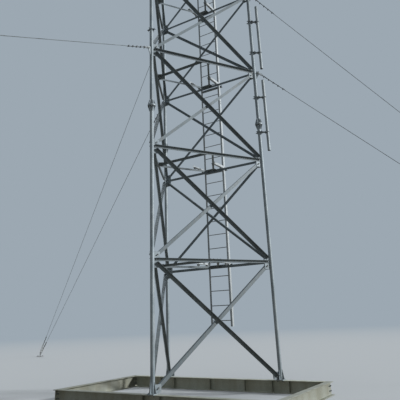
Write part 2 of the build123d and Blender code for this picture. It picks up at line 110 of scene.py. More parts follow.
@dataclass(frozen=True)
class TowerPlan:
    """Heights and distances that the sub-assemblies share."""

    face_width: float = 3.0
    bay: float = 2.5
    bays: int = 6
    base: float = 0.25
    top: float = 15.45
    splices: tuple[float, ...] = (6.25, 12.25)
    leg_radius: float = 0.04445
    guy_levels: tuple[int, int] = (3, 4)
    lug_hole: float = 0.10445

    @property
    def reach(self) -> float:
        """Distance from the tower's axis to a leg's axis."""
        return self.face_width / sqrt(3)

    @property
    def face_distance(self) -> float:
        """Distance from the tower's axis to a face."""
        return self.reach / 2

    def level(self, number: int) -> float:
        """Height of a level of horizontals."""
        return self.base + number * self.bay

    def leg_place(self, leg: Leg, height: float, turn: float = 0.0) -> Place:
        """Level plane on a leg's axis.

        Args:
            leg: The leg.
            height: Height above the floor.
            turn: Angle in degrees from the direction away from the tower's axis.

        Returns:
            The plane, with its z upwards.
        """
        out = heading(leg.value)
        x = heading(leg.value + turn)
        return Place(out * self.reach + UP * height, x, UP.cross(x))

    def upright(self, leg: Leg, height: float, turn: float = 0.0) -> Place:
        """Upright plane on a leg's axis: x level, y upwards.

        Args:
            leg: The leg.
            height: Height above the floor.
            turn: Angle in degrees from the direction away from the tower's axis.

        Returns:
            The plane.
        """
        axis = heading(leg.value) * self.reach
        return Place(axis + UP * height, heading(leg.value + turn), UP)

    def face_place(self, face: Face, height: float) -> Place:
        """Plane through both leg axes of a face: x along it, y upwards, z outwards."""
        middle = heading(face.value) * self.face_distance
        return Place(middle + UP * height, heading(face.value + 90), UP)


def arc(centre: tuple[float, float], radius: float, start: float, end: float, steps: int) -> Outline:
    """Points of an arc.

    Args:
        centre: Centre of the arc.
        radius: Radius of the arc.
        start: First angle in degrees.
        end: Last angle in degrees.
        steps: Number of runs that the arc is divided into.

    Returns:
        The points, both ends included.
    """
    angles = [radians(start + (end - start) * step / steps) for step in range(steps + 1)]
    return [(centre[0] + radius * cos(a), centre[1] + radius * sin(a)) for a in angles]


def circle(radius: float, steps: int, centre: tuple[float, float] = (0.0, 0.0)) -> Outline:
    """Points of a full circle, the first one on the x axis and not repeated."""
    return arc(centre, radius, 0.0, 360.0, steps)[:-1]


def rolled_angle(long_side: float, short_side: float, thickness: float) -> Outline:
    """Outline of a hot-rolled angle, with its heel at the origin.

    Args:
        long_side: Width of the flange along +x.
        short_side: Width of the flange along +y.
        thickness: Thickness of both.

    Returns:
        The outline, with the root fillet and the rounded toes that rolling leaves.
    """
    toe = thickness * 0.5
    root = thickness * 1.2
    return [
        (0.0, 0.0),
        (long_side, 0.0),
        *arc((long_side - toe, thickness - toe), toe, 0, 90, 3),
        *reversed(arc((thickness + root, thickness + root), root, 180, 270, 4)),
        *arc((thickness - toe, short_side - toe), toe, 0, 90, 3),
        (0.0, short_side),
    ]


def rolled_beam(height: float, width: float, flange: float, web: float) -> Outline:
    """Outline of a hot-rolled wide-flange beam that stands on the x axis.

    Args:
        height: Depth of the beam.
        width: Width of its flanges.
        flange: Thickness of its flanges.
        web: Thickness of its web.

    Returns:
        The outline, with its four root fillets.
    """
    root = flange
    edge = 0.0015
    half = width / 2
    inner = web / 2 + root
    tip = [(half - edge, 0.0), (half, edge), (half, flange - edge), (half - edge, flange)]
    right = [*tip, *reversed(arc((inner, flange + root), root, 180, 270, 4))]
    right += reversed(arc((inner, height - flange - root), root, 90, 180, 4))
    right += [(x, height - y) for x, y in reversed(tip)]
    return right + [(-x, y) for x, y in reversed(right)]


def rounded_box(half_x: float, half_y: float, radius: float, steps: int = 3) -> Outline:
    """Outline of a rectangle with rounded corners, about the origin.

    Args:
        half_x: Half its width.
        half_y: Half its height.
        radius: Radius of the corners.
        steps: Number of runs in each of them.

    Returns:
        The outline.
    """
    points: Outline = []
    for number, (sx, sy) in enumerate(((1, 1), (-1, 1), (-1, -1), (1, -1))):
        centre = (sx * (half_x - radius), sy * (half_y - radius))
        points += arc(centre, radius, number * 90, number * 90 + 90, steps)
    return points


def smoothed(mesh: Mesh) -> Mesh:
    """Shades a mesh smooth, apart from its sharp edges.

    Args:
        mesh: The mesh.

    Returns:
        The same mesh.
    """
    mesh.shade_smooth()
    mesh.set_sharp_from_angle(angle=radians(38))
    return mesh


class Steelwork:
    """Gathers closed shells of one piece, each with its own tone: a slight random difference, and on some
    pieces painted light and shade as well.
    """

    def __init__(self, seed: int) -> None:
        """Starts an empty piece.

        Args:
            seed: Seed of its own dice.
        """
        self.points: list[Vector] = []
        self.faces: list[tuple[int, ...]] = []
        self.tones: list[float] = []
        self.tone = 0.0
        self.dice = random.Random(seed)

    def next_bar(self, spread: float = 0.09) -> None:
        """Gives the shells that follow a tone of their own."""
        self.tone = self.dice.uniform(-spread, spread)

    def shell(self, points: Sequence[Vector], faces: Iterable[Sequence[int]]) -> None:
        """Adds a closed shell.

        Args:
            points: Its corners.
            faces: Its faces, as indices into the corners.
        """
        first = len(self.points)
        self.points += points
        added = [tuple(first + index for index in face) for face in faces]
        self.faces += added
        self.tones += [self.tone] * len(added)

    def prism(self, outline: Outline, place: Place, low: float, high: float) -> None:
        """Adds a straight bar of an outline.

        Args:
            outline: Its section, on the plane.
            place: The plane.
            low: Where it starts along the plane's z.
            high: Where it ends.
        """
        count = len(outline)
        points = [place.at(a, b, c) for c in (low, high) for a, b in outline]
        sides = [(i, (i + 1) % count, count + (i + 1) % count, count + i) for i in range(count)]
        caps = [tuple(reversed(range(count))), tuple(range(count, 2 * count))]
        self.shell(points, sides + caps)

    def plate(
        self, outline: Outline, place: Place, low: float, high: float,
        holes: Sequence[Outline] = (), bevel: float = 0.0009,
    ) -> None:
        """Adds a plate with its holes cut and its edges broken.

        Args:
            outline: Its outline, on the plane.
            place: The plane.
            low: Where it starts along the plane's z.
            high: Where it ends.
            holes: Outlines of its holes.
            bevel: Width of the broken edge, or 0 for none.
        """
        mesh = bmesh.new()
        loops = [outline, *holes]
        corners = [point for loop in loops for point in loop]
        flat = tessellate_polygon([[Vector((a, b, 0.0)) for a, b in loop] for loop in loops])
        rings = [[mesh.verts.new(place.at(a, b, c)) for a, b in corners] for c in (low, high)]
        if holes:
            for ring in rings:
                for triangle in flat:
                    mesh.faces.new([ring[index] for index in triangle])
        else:
            for ring in rings:
                mesh.faces.new(ring)
        start = 0
        for loop in loops:
            count = len(loop)
            for i in range(count):
                a, b = start + i, start + (i + 1) % count
                mesh.faces.new((rings[0][a], rings[0][b], rings[1][b], rings[1][a]))
            start += count
        bmesh.ops.recalc_face_normals(mesh, faces=mesh.faces)
        if bevel:
            sharp = [e for e in mesh.edges if e.calc_face_angle(0.0) > radians(50)]
            bmesh.ops.bevel(mesh, geom=sharp, offset=bevel, segments=1, affect="EDGES", profile=0.5)
        mesh.verts.index_update()
        self.shell([v.co.copy() for v in mesh.verts], [[v.index for v in f.verts] for f in mesh.faces])
        mesh.free()

    def box(self, place: Place, low: Sequence[float], high: Sequence[float]) -> None:
        """Adds a flat bar between two corners that are given on a plane."""
        outline = [(low[0], low[1]), (high[0], low[1]), (high[0], high[1]), (low[0], high[1])]
        self.plate(outline, place, low[2], high[2])

    def turned(self, profile: Outline, place: Place, steps: int, ring: bool = False) -> None:
        """Adds a part that is round about the plane's z.

        Args:
            profile: Its radii and heights, from one end of the axis to the other, or all
                round the section of a ring.
            place: The plane.
            steps: Number of facets round it.
            ring: Whether the profile closes on itself.
        """
        points: list[Vector] = []
        rows: list[list[int]] = []
        for radius, height in profile:
            first = len(points)
            if radius < 1e-7:
                points.append(place.at(0.0, 0.0, height))
                rows.append([first] * steps)
                continue
            points += [place.at(a, b, height) for a, b in circle(radius, steps)]
            rows.append(list(range(first, first + steps)))
        pairs = list(zip(rows, rows[1:]))
        if ring:
            pairs.append((rows[-1], rows[0]))
        faces: list[list[int]] = []
        for lower, upper in pairs:
            for i in range(steps):
                j = (i + 1) % steps
                face = [lower[i], lower[j], upper[j], upper[i]]
                faces.append(list(dict.fromkeys(face)))
        self.shell(points, faces)

    def pipe(self, place: Place, outer: float, inner: float, low: float, high: float, steps: int) -> None:
        """Adds a length of tube along the plane's z, its ends square and lightly broken.

        Args:
            place: The plane.
            outer: Outer radius.
            inner: Inner radius.
            low: Where it starts along z.
            high: Where it ends.
            steps: Number of facets round it.
        """
        edge = min(0.0008, (outer - inner) / 4)
        ends = [(inner, edge), (inner + edge, 0.0), (outer - edge, 0.0), (outer, edge)]
        section = [(radius, low + rise) for radius, rise in ends]
        section += [(radius, high - rise) for radius, rise in reversed(ends)]
        self.turned(section, place, steps, ring=True)

    def swept(self, corners: Sequence[Vector], width: int, loop: bool, shift: int = 0) -> None:
        """Adds a shell of rings of corners, one after another.

        Args:
            corners: The corners of all rings.
            width: Number of corners in a ring.
            loop: Whether the last ring joins the first one, or else both ends are closed.
            shift: Number of corners by which that join is turned.
        """
        count = len(corners) // width
        faces: list[tuple[int, ...]] = []
        for i in range(count if loop else count - 1):
            j = (i + 1) % count
            turn = 0 if j else shift
            for k in range(width):
                n = (k + 1) % width
                near = (i * width + k, i * width + n)
                faces.append((*near, j * width + (n + turn) % width, j * width + (k + turn) % width))
        if not loop:
            faces += [tuple(range(width)), tuple(range((count - 1) * width, count * width))]
        self.shell(corners, faces)

    def rod(self, points: Sequence[Vector], radius: float, steps: int = 8, loop: bool = False) -> None:
        """Adds a round bar that follows a line of points.

        Args:
            points: The line of its centre.
            radius: Its radius.
            steps: Number of facets round it.
            loop: Whether its end joins its start.
        """
        count = len(points)
        runs: list[Vector] = []
        for i in range(count):
            before = points[i - 1] if i or loop else points[0]
            after = points[(i + 1) % count] if i < count - 1 or loop else points[-1]
            runs.append((after - before).normalized())
        side = runs[0].orthogonal().normalized()
        corners: list[Vector] = []
        for point, run in zip(points, runs):
            side = (side - run * side.dot(run)).normalized()
            across = run.cross(side)
            corners += [point + side * a + across * b for a, b in circle(radius, steps)]
        shift = 0
        if loop:
            start, end = corners[:steps], corners[-steps:]
            gaps = [
                sum((start[(i + k) % steps] - end[i]).length for i in range(steps))
                for k in range(steps)
            ]
            shift = gaps.index(min(gaps))
        self.swept(corners, steps, loop, shift)

    def bead(self, start: Vector, end: Vector, size: float = WELD_RADIUS) -> None:
        """Adds a weld bead along a straight seam, its line slightly uneven.

        Args:
            start: One end of the seam.
            end: The other end.
            size: Radius of the bead.
        """
        run = end - start
        count = max(2, round(run.length / 0.03))
        swell = [start + run * (i / count) for i in range(count + 1)]
        wander = size * 0.12
        points = [p + Vector([self.dice.uniform(-wander, wander) for _ in range(3)]) for p in swell]
        self.rod(points, size, 6)

    def seams(self, place: Place, depth: float, runs: Sequence[Seam], size: float = WELD_RADIUS) -> None:
        """Adds weld beads along both faces of a plate.

        Args:
            place: Plane through the plate's middle.
            depth: Distance of the beads from it.
            runs: Start and end of each seam on the plane.
            size: Radius of the beads.
        """
        for side in (-depth, depth):
            for a, b, c, d in runs:
                self.bead(place.at(a, b, side), place.at(c, d, side), size)

    def collar(self, place: Place, radius: float, height: float) -> None:
        """Adds a weld bead round a tube, at a height along the plane's z."""
        section = [(radius + a, height + b) for a, b in circle(WELD_RADIUS, 6)]
        self.turned(section, place, 28, ring=True)

    def mesh(self, name: str) -> Mesh:
        """Makes the gathered shells one mesh, with faces outwards and smooth round curves.

        Args:
            name: Name of the mesh.

        Returns:
            The mesh, with the tone of each face in its attribute "tone".
        """
        mesh = bpy.data.meshes.new(name)
        mesh.from_pydata([tuple(point) for point in self.points], [], self.faces)
        tone = mesh.attributes.new("tone", "FLOAT", "FACE")
        tone.data.foreach_set("value", self.tones)
        shells = bmesh.new()
        shells.from_mesh(mesh)
        bmesh.ops.recalc_face_normals(shells, faces=shells.faces)
        shells.to_mesh(mesh)
        shells.free()
        return smoothed(mesh)


def angle_bar(
    work: Steelwork, start: Vector, end: Vector, outward: Vector,
    width: float, thickness: float, gap: float, edge: int,
) -> None:
    """Adds a rolled angle between two points.

    Args:
        work: The piece that it belongs to.
        start: One end of the line that its flat flange is centred on.
        end: The other end.
        outward: Direction in which the flat flange lies off the line, and the other one projects.
        width: Width of both flanges.
        thickness: Thickness of both.
        gap: Distance from the line to the flat flange.
        edge: Edge of the flat flange, +1 or -1, from which the other one projects.
    """
    run = (end - start).normalized()
    across = run.cross(outward)
    heel = start + outward * gap + across * (edge * width / 2)
    place = Place(heel, outward, across * -edge)
    length = (end - start).length * (1 if place.z.dot(run) > 0 else -1)
    work.next_bar()
    work.prism(rolled_angle(width, width, thickness), place, 0.0, length)


def add_node(
    tree: NodeTree, kind: str, inputs: Optional[Sockets] = None, **settings: object
) -> Node:
    """Adds a node to a tree.

    Args:
        tree: The tree.
        kind: Type of the node.
        inputs: For each input, by name or number, its value, or the socket or list of sockets
            that it is linked to.
        **settings: Values of the node's own properties.

    Returns:
        The node.
    """
    node = tree.nodes.new(kind)
    for key, value in settings.items():
        setattr(node, key, value)
    for key, value in (inputs or {}).items():
        sources = value if isinstance(value, list) else [value]
        if isinstance(sources[0], Socket):
            for source in sources:
                tree.links.new(source, node.inputs[key])
        else:
            node.inputs[key].default_value = value
    return node


def linear(colour: str) -> tuple[float, float, float, float]:
    """Turns an sRGB hex value into a linear colour.

    Args:
        colour: The value, such as "#8E999F".

    Returns:
        Red, green, blue and an alpha of 1.
    """
    parts = [int(colour[i : i + 2], 16) / 255 for i in (1, 3, 5)]
    red, green, blue = (c / 12.92 if c <= 0.04045 else ((c + 0.055) / 1.055) ** 2.4 for c in parts)
    return red, green, blue, 1.0


def per_metre(millimetres: float) -> float:
    """Texture scale at which one feature of a pattern has a size in millimetres."""
    return 1000.0 / millimetres


class Recipe:
    """A node tree in the making."""

    tree: NodeTree

    def add(
        self, kind: str, inputs: Optional[Sockets] = None, output: int | str = 0, **settings: object
    ) -> Socket:
        """Adds a node and returns one of its outputs."""
        return add_node(self.tree, kind, inputs, **settings).outputs[output]


class Surface(Recipe):
    """A material in the making, with its shader and its Object coordinates."""

    def __init__(self, name: str, **values: float) -> None:
        """Starts a material.

        Args:
            name: Its name.
            **values: Values of its Principled shader's inputs.
        """
        self.material = bpy.data.materials.new(name)
        self.material.use_nodes = True
        self.tree = self.material.node_tree
        self.tree.nodes.clear()
        self.shader = add_node(self.tree, "ShaderNodeBsdfPrincipled", values)
        shown = {"Surface": self.shader.outputs[0]}
        self.output = add_node(self.tree, "ShaderNodeOutputMaterial", shown)
        self.place = self.add("ShaderNodeTexCoord", output="Object")

    def feed(self, name: str, source: Socket) -> None:
        """Links a socket to one of the shader's."""
        self.tree.links.new(source, self.shader.inputs[name])

    def grain(self, size_mm: float, strength: float, distance: float) -> None:
        """Roughens the surface with a fine grain.

        Args:
            size_mm: Size of one grain.
            strength: Strength of its bump.
            distance: Depth of its bump.
        """
        noise = self.add("ShaderNodeTexNoise", {"Vector": self.place, "Scale": per_metre(size_mm)})
        rise = {"Strength": strength, "Distance": distance, "Height": noise}
        self.feed("Normal", self.add("ShaderNodeBump", rise))


@dataclass(frozen=True)
class HotDipZinc:
    """Hot-dip galvanised steel after some years outdoors.

    Dipped in molten zinc, so it has spangle of 8 to 25 mm that weather has dulled. The eye
    sees a matt blue-grey with cloudy paler bloom, faint upright run-off and little gloss.
    """

    name: str
    base: str = "#8D979C"
    bloom: str = "#A9B0B2"
    dull: str = "#6B757B"
    stain: str = "#6F6250"
    spangle_mm: float = 16.0
    cloud_mm: float = 420.0
    streak_mm: float = 38.0
    streak_stretch: float = 22.0
    stain_amount: float = 0.12
    metallic: float = 0.22
    roughness: tuple[float, float] = (0.46, 0.58)
    grain_mm: float = 2.5

    def material(self) -> Material:
        """Makes the finish.

        Returns:
            The material, patterned on Object coordinates and on each face's tone.
        """
        zinc = Surface(self.name, Metallic=self.metallic)
        cells = {"Vector": zinc.place, "Scale": per_metre(self.spangle_mm)}
        spangle = zinc.add("ShaderNodeTexVoronoi", cells, "Color")
        crystal = add_node(zinc.tree, "ShaderNodeSeparateColor", {0: spangle}).outputs
        drift = {"Vector": zinc.place, "Scale": per_metre(self.cloud_mm), "Detail": 5.0, "Roughness": 0.62}
        clouds = zinc.add("ShaderNodeTexNoise", drift)
        across = per_metre(self.streak_mm)
        squeeze = (across, across, per_metre(self.streak_mm * self.streak_stretch))
        upright = zinc.add("ShaderNodeMapping", {"Vector": zinc.place, "Scale": squeeze})
        streaks = zinc.add("ShaderNodeTexNoise", {"Vector": upright, "Scale": 1.0, "Detail": 4.0})
        colour: object = linear(self.base)
        for mask, low, high, start, end, top in (
            (clouds, 0.42, 0.72, 0.0, 0.85, self.bloom),
            (clouds, 0.30, 0.48, 0.7, 0.0, self.dull),
            (streaks, 0.40, 0.80, 0.0, self.stain_amount * 2.2, self.stain),
        ):
            span = {"Value": mask, "From Min": low, "From Max": high, "To Min": start, "To Max": end}
            layer = {0: zinc.add("ShaderNodeMapRange", span), 6: colour, 7: linear(top)}
            colour = zinc.add("ShaderNodeMix", layer, 2, data_type="RGBA")
        facet = zinc.add("ShaderNodeMapRange", {"Value": crystal[0], "To Min": 0.91, "To Max": 1.07})
        # The face tone holds each bar's random difference and, on some pieces, painted light and shade.
        tone = zinc.add("ShaderNodeAttribute", output="Fac", attribute_name="tone")
        lift = zinc.add("ShaderNodeMath", {0: tone, 1: 1.0}, operation="ADD")
        value = zinc.add("ShaderNodeMath", {0: lift, 1: facet}, operation="MULTIPLY")
        zinc.feed("Base Color", zinc.add("ShaderNodeHueSaturation", {"Value": value, "Color": colour}))
        gloss = zinc.add("ShaderNodeMath", {0: clouds, 1: crystal[1]}, operation="ADD")
        low, high = self.roughness
        span = {"Value": gloss, "From Min": 0.35, "From Max": 1.45, "To Min": low, "To Max": high}
        zinc.feed("Roughness", zinc.add("ShaderNodeMapRange", span))
        zinc.grain(self.grain_mm, 0.07, 0.0006)
        return zinc.material


@dataclass(frozen=True)
class SoiledCover:
    """An even surface with a fine grain, which weather has changed in patches."""

    name: str
    base: str
    patch: str
    patch_mm: float
    patch_detail: float
    patch_full: float
    metallic: float
    roughness: float
    grain_mm: float
    grain_bump: tuple[float, float]

    def material(self) -> Material:
        """Makes the finish.

        Returns:
            The material, patterned on Object coordinates.
        """
        cover = Surface(self.name, Metallic=self.metallic, Roughness=self.roughness)
        soil = {"Vector": cover.place, "Scale": per_metre(self.patch_mm), "Detail": self.patch_detail}
        patches = cover.add("ShaderNodeTexNoise", soil)
        span = {"Value": patches, "From Min": 0.4, "From Max": self.patch_full}
        mask = cover.add("ShaderNodeMapRange", span)
        layer = {0: mask, 6: linear(self.base), 7: linear(self.patch)}
        cover.feed("Base Color", cover.add("ShaderNodeMix", layer, 2, data_type="RGBA"))
        cover.grain(self.grain_mm, *self.grain_bump)
        return cover.material


@dataclass(frozen=True)
class PaleFloor:
    """Plain pale studio floor that fades into the backdrop's colour with distance."""

    name: str = "pale_studio_floor"
    tint: str = "#A9AFB3"
    bounce: str = "#8E8A80"
    backdrop: str = "#9CA8B2"
    near: float = 14.0
    far: float = 60.0

    def material(self) -> Material:
        """Makes the floor's finish.

        Returns:
            The material, lit near the tower and of the backdrop's own colour far away.
        """
        floor = Surface(self.name, Roughness=0.9)
        seen = floor.add("ShaderNodeLightPath", output="Is Camera Ray")
        layer = {0: seen, 6: linear(self.bounce), 7: linear(self.tint)}
        floor.feed("Base Color", floor.add("ShaderNodeMix", layer, 2, data_type="RGBA"))
        reach = floor.add("ShaderNodeVectorMath", {0: floor.place}, "Value", operation="LENGTH")
        span = {"Value": reach, "From Min": self.near, "From Max": self.far}
        fade = floor.add("ShaderNodeMapRange", span, interpolation_type="SMOOTHSTEP")
        glow = floor.add("ShaderNodeEmission", {"Color": linear(self.backdrop), "Strength": 1.0})
        mixed = floor.add("ShaderNodeMixShader", {0: fade, 1: floor.shader.outputs[0], 2: glow})
        floor.tree.links.new(mixed, floor.output.inputs["Surface"])
        return floor.material


class Finish(Enum):
    """The finishes of the tower, by what each one covers."""

    LEG = HotDipZinc("galvanised_leg_tube", "#808D94", "#9AA5AB", "#65727A")
    BAR = HotDipZinc("galvanised_angle_bar", "#616D73", "#6E7A80", "#4E595E")
    LADDER = HotDipZinc("galvanised_ladder_steel", "#A3ABAF", "#B8BEC1", "#889196")
    POLE = HotDipZinc("galvanised_pole_tube", "#8A959A", "#A1AAAE", "#6E787D")
    BEAM = HotDipZinc(
        "galvanised_beam_with_run_off", "#9EA398", "#B4B8AE", "#898B7B", "#85816A",
        stain_amount=0.32, streak_mm=210.0, cloud_mm=900.0,
    )
    ANCHOR = HotDipZinc("galvanised_anchor_steel", stain="#7A4A2C", stain_amount=0.3, cloud_mm=120.0)
    BOLT = HotDipZinc("galvanised_bolt", "#6C7376", "#868D8F", "#4B5154", spangle_mm=6.0, cloud_mm=900.0)
    FITTING = HotDipZinc("galvanised_forged_fitting", "#AEB6B9", "#C6CBCD", "#8F989C", spangle_mm=5.0)
    GRIP = HotDipZinc("malleable_iron_rope_grip", "#454A4D", "#5A6063", "#303436", spangle_mm=4.0)
    # Drawn steel wire, zinc coated: dark with grease and weather, its grain one wire wide.
    ROPE = SoiledCover(
        "galvanised_wire_rope", base="#6E7679", patch="#3F4547",
        patch_mm=260.0, patch_detail=4.0, patch_full=0.7,
        metallic=0.35, roughness=0.55, grain_mm=1.0, grain_bump=(0.4, 0.0004),
    )
    # Black polyethylene, injection moulded: soft low gloss, chalked in patches by the sun.
    CAP = SoiledCover(
        "black_moulded_cap", base="#1C1D1E", patch="#38393A",
        patch_mm=30.0, patch_detail=3.0, patch_full=0.75,
        metallic=0.0, roughness=0.5, grain_mm=0.8, grain_bump=(0.3, 0.0002),
    )

    @property
    def material(self) -> Material:
        """The finish's material, made the first time that it is asked for."""
        return bpy.data.materials.get(self.value.name) or self.value.material()


def put_in_scene(name: str, data: ID) -> Object:
    """Makes an object of some data and links it to the scene.

    Args:
        name: Name of the object.
        data: Its mesh, camera or lamp.

    Returns:
        The object.
    """
    item = bpy.data.objects.new(name, data)
    bpy.context.scene.collection.objects.link(item)
    return item


def hand_over(piece: Object, nodes: Sequence[str] = ()) -> None:
    """Fixes a finished piece to the frame.

    Args:
        piece: The piece, its place in its mesh.
        nodes: The CAD nodes that it stands for.
    """
    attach(piece, "root")
    if nodes:
        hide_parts(*nodes)
    log.info("%s: %d faces", piece.name, len(piece.data.polygons))


def build_piece(name: str, work: Steelwork, finish: Finish, nodes: Sequence[str]) -> None:
    """Makes a piece of gathered steelwork and fixes it to the frame.

    Args:
        name: Name of the piece.
        work: Its shells.
        finish: Its finish.
        nodes: The CAD nodes that it stands for.
    """
    mesh = work.mesh(name)
    mesh.materials.append(finish.material)
    hand_over(put_in_scene(name, mesh), nodes)


class GrownPiece(Recipe):
    """A Geometry Nodes tree that is run once on a mesh and leaves a plain mesh behind."""

    def __init__(self, name: str) -> None:
        """Starts an empty tree with its geometry sockets.

        Args:
            name: Its name.
        """
        self.tree = bpy.data.node_groups.new(name, "GeometryNodeTree")
        for way in ("INPUT", "OUTPUT"):
            self.tree.interface.new_socket("Geometry", in_out=way, socket_type="NodeSocketGeometry")
        self.entry = add_node(self.tree, "NodeGroupInput")
        self.identifiers: dict[str, str] = {}

    def size(self, name: str, kind: str = "NodeSocketFloat") -> Socket:
        """Adds a named input.

        Args:
            name: Name of the input.
            kind: Type of its socket.

        Returns:
            The socket inside the tree.
        """
        item = self.tree.interface.new_socket(name, in_out="INPUT", socket_type=kind)
        self.identifiers[name] = item.identifier
        return self.entry.outputs[name]

    def height(self, value: object, factor: float, offset: float) -> Socket:
        """Finds the point on the z axis at a value times a factor, plus an offset."""
        rise = self.add("ShaderNodeMath", {0: value, 1: factor, 2: offset}, operation="MULTIPLY_ADD")
        return self.add("ShaderNodeCombineXYZ", {"Z": rise})

    def drum(self, sides: int, radius: object, depth: object, middle: object) -> Socket:
        """Adds an upright prism of some sides about a middle point.

        Args:
            sides: Number of its sides.
            radius: Its radius over the corners.
            depth: Its height.
            middle: Its centre.

        Returns:
            Its geometry.
        """
        sizes = {"Vertices": sides, "Radius": radius, "Depth": depth}
        body = self.add("GeometryNodeMeshCylinder", sizes)
        return self.add("GeometryNodeTransform", {"Geometry": body, "Translation": middle})

    def taper(self, sides: int, radii: tuple[float, float], depth: float, foot: float) -> Socket:
        """Adds an upright tapered prism.

        Args:
            sides: Number of its sides.
            radii: Radius at its top and at its foot.
            depth: Its height.
            foot: Height of its foot.

        Returns:
            Its geometry.
        """
        sizes = {"Vertices": sides, "Radius Top": radii[0], "Radius Bottom": radii[1], "Depth": depth}
        body = self.add("GeometryNodeMeshCone", sizes)
        return self.add("GeometryNodeTransform", {"Geometry": body, "Translation": (0.0, 0.0, foot)})

    def close(self, geometry: Socket) -> None:
        """Ends the tree: instances made real, and the finish set.

        Args:
            geometry: What the tree has built.
        """
        real = self.add("GeometryNodeRealizeInstances", {0: geometry})
        dress = {"Geometry": real, "Material": self.size("Finish", "NodeSocketMaterial")}
        add_node(self.tree, "NodeGroupOutput", {0: self.add("GeometryNodeSetMaterial", dress)})

    def grow(self, mesh: Mesh, name: str, values: dict[str, object]) -> Object:
        """Runs the tree on a mesh.

        Args:
            mesh: The mesh that it starts from.
            name: Name of the new piece.
            values: A value for each named input.

        Returns:
            The new piece, as a plain mesh.
        """
        piece = put_in_scene(name, mesh)
        modifier = piece.modifiers.new("grown", "NODES")
        modifier.node_group = self.tree
        for key, value in values.items():
            modifier[self.identifiers[key]] = value
        graph = bpy.context.evaluated_depsgraph_get()
        result = bpy.data.meshes.new_from_object(piece.evaluated_get(graph))
        piece.modifiers.clear()
        piece.data = smoothed(result)
        result.name = name
        return piece


def point_mesh(name: str, points: Sequence[Vector], **vectors: Sequence[Vector]) -> Mesh:
    """Makes a mesh of loose points.

    Args:
        name: Name of the mesh.
        points: The points.
        **vectors: For each attribute by name, a vector at each point.

    Returns:
        The mesh.
    """
    mesh = bpy.data.meshes.new(name)
    mesh.from_pydata([tuple(point) for point in points], [], [])
    for key, values in vectors.items():
        flat = [number for vector in values for number in vector]
        mesh.attributes.new(key, "FLOAT_VECTOR", "POINT").data.foreach_set("vector", flat)
    return mesh


@dataclass
class BoltSet:
    """Hexagon bolts of one size and grip, each with two washers and a nut."""

    name: str
    diameter: float
    grip: float
    slot: str
    seed: int = 7
    points: list[Vector] = field(default_factory=list)
    axes: list[Vector] = field(default_factory=list)

    def add(self, point: Vector, axis: Vector) -> None:
        """Adds a bolt with its head's washer at a point, the head looking along an axis."""
        self.points.append(point)
        self.axes.append(axis.normalized())

    def tree(self) -> GrownPiece:
        """Builds the tree that sets a bolt on each point.

        Returns:
            The tree. Its bolt is drawn for a diameter of 1 and then scaled.
        """
        grown = GrownPiece("hexagon_bolts")
        diameter = grown.size("Diameter")
        grip = grown.size("Grip")
        seed = grown.size("Seed", "NodeSocketInt")
        depth = grown.add("ShaderNodeMath", {0: grip, 1: diameter}, operation="DIVIDE")
        shank = grown.add("ShaderNodeMath", {0: depth, 1: 1.65}, operation="ADD")
        parts = [
            grown.drum(14, 0.98, 0.17, (0.0, 0.0, 0.085)),
            grown.drum(6, 0.87, 0.54, (0.0, 0.0, 0.44)),
            grown.taper(6, (0.70, 0.87), 0.09, 0.71),
            grown.drum(10, 0.49, shank, grown.height(shank, -0.5, 0.2)),
            grown.drum(14, 0.98, 0.17, grown.height(depth, -1.0, -0.085)),
            grown.drum(6, 0.87, 0.78, grown.height(depth, -1.0, -0.56)),
        ]
        bolt = grown.add("GeometryNodeJoinGeometry", {0: parts})
        span = {2: 0.0, 3: tau, 8: seed}
        roll = grown.add("FunctionNodeRandomValue", span, 1, data_type="FLOAT")
        spun = grown.add("ShaderNodeCombineXYZ", {"Z": roll})
        turn = grown.add("FunctionNodeEulerToRotation", {0: spun})
        axis = grown.add("GeometryNodeInputNamedAttribute", {"Name": "axis"}, data_type="FLOAT_VECTOR")
        stand = grown.add("FunctionNodeAlignRotationToVector", {0: turn, 2: axis}, axis="Z")
        placed = {"Points": grown.entry.outputs[0], "Instance": bolt, "Rotation": stand, "Scale": diameter}
        grown.close(grown.add("GeometryNodeInstanceOnPoints", placed))
        return grown

    def build(self) -> None:
        """Makes the set one piece."""
        mesh = point_mesh(self.name, self.points, axis=self.axes)
        values = {"Diameter": self.diameter, "Grip": self.grip, "Seed": self.seed}
        values["Finish"] = Finish.BOLT.material
        hand_over(self.tree().grow(mesh, self.name, values))


def bolt_set(name: str, diameter: float, grip: float, slot: str) -> BoltSet:
    """Dataclass field that starts as a set without bolts."""
    return field(default_factory=lambda: BoltSet(name, diameter, grip, slot))


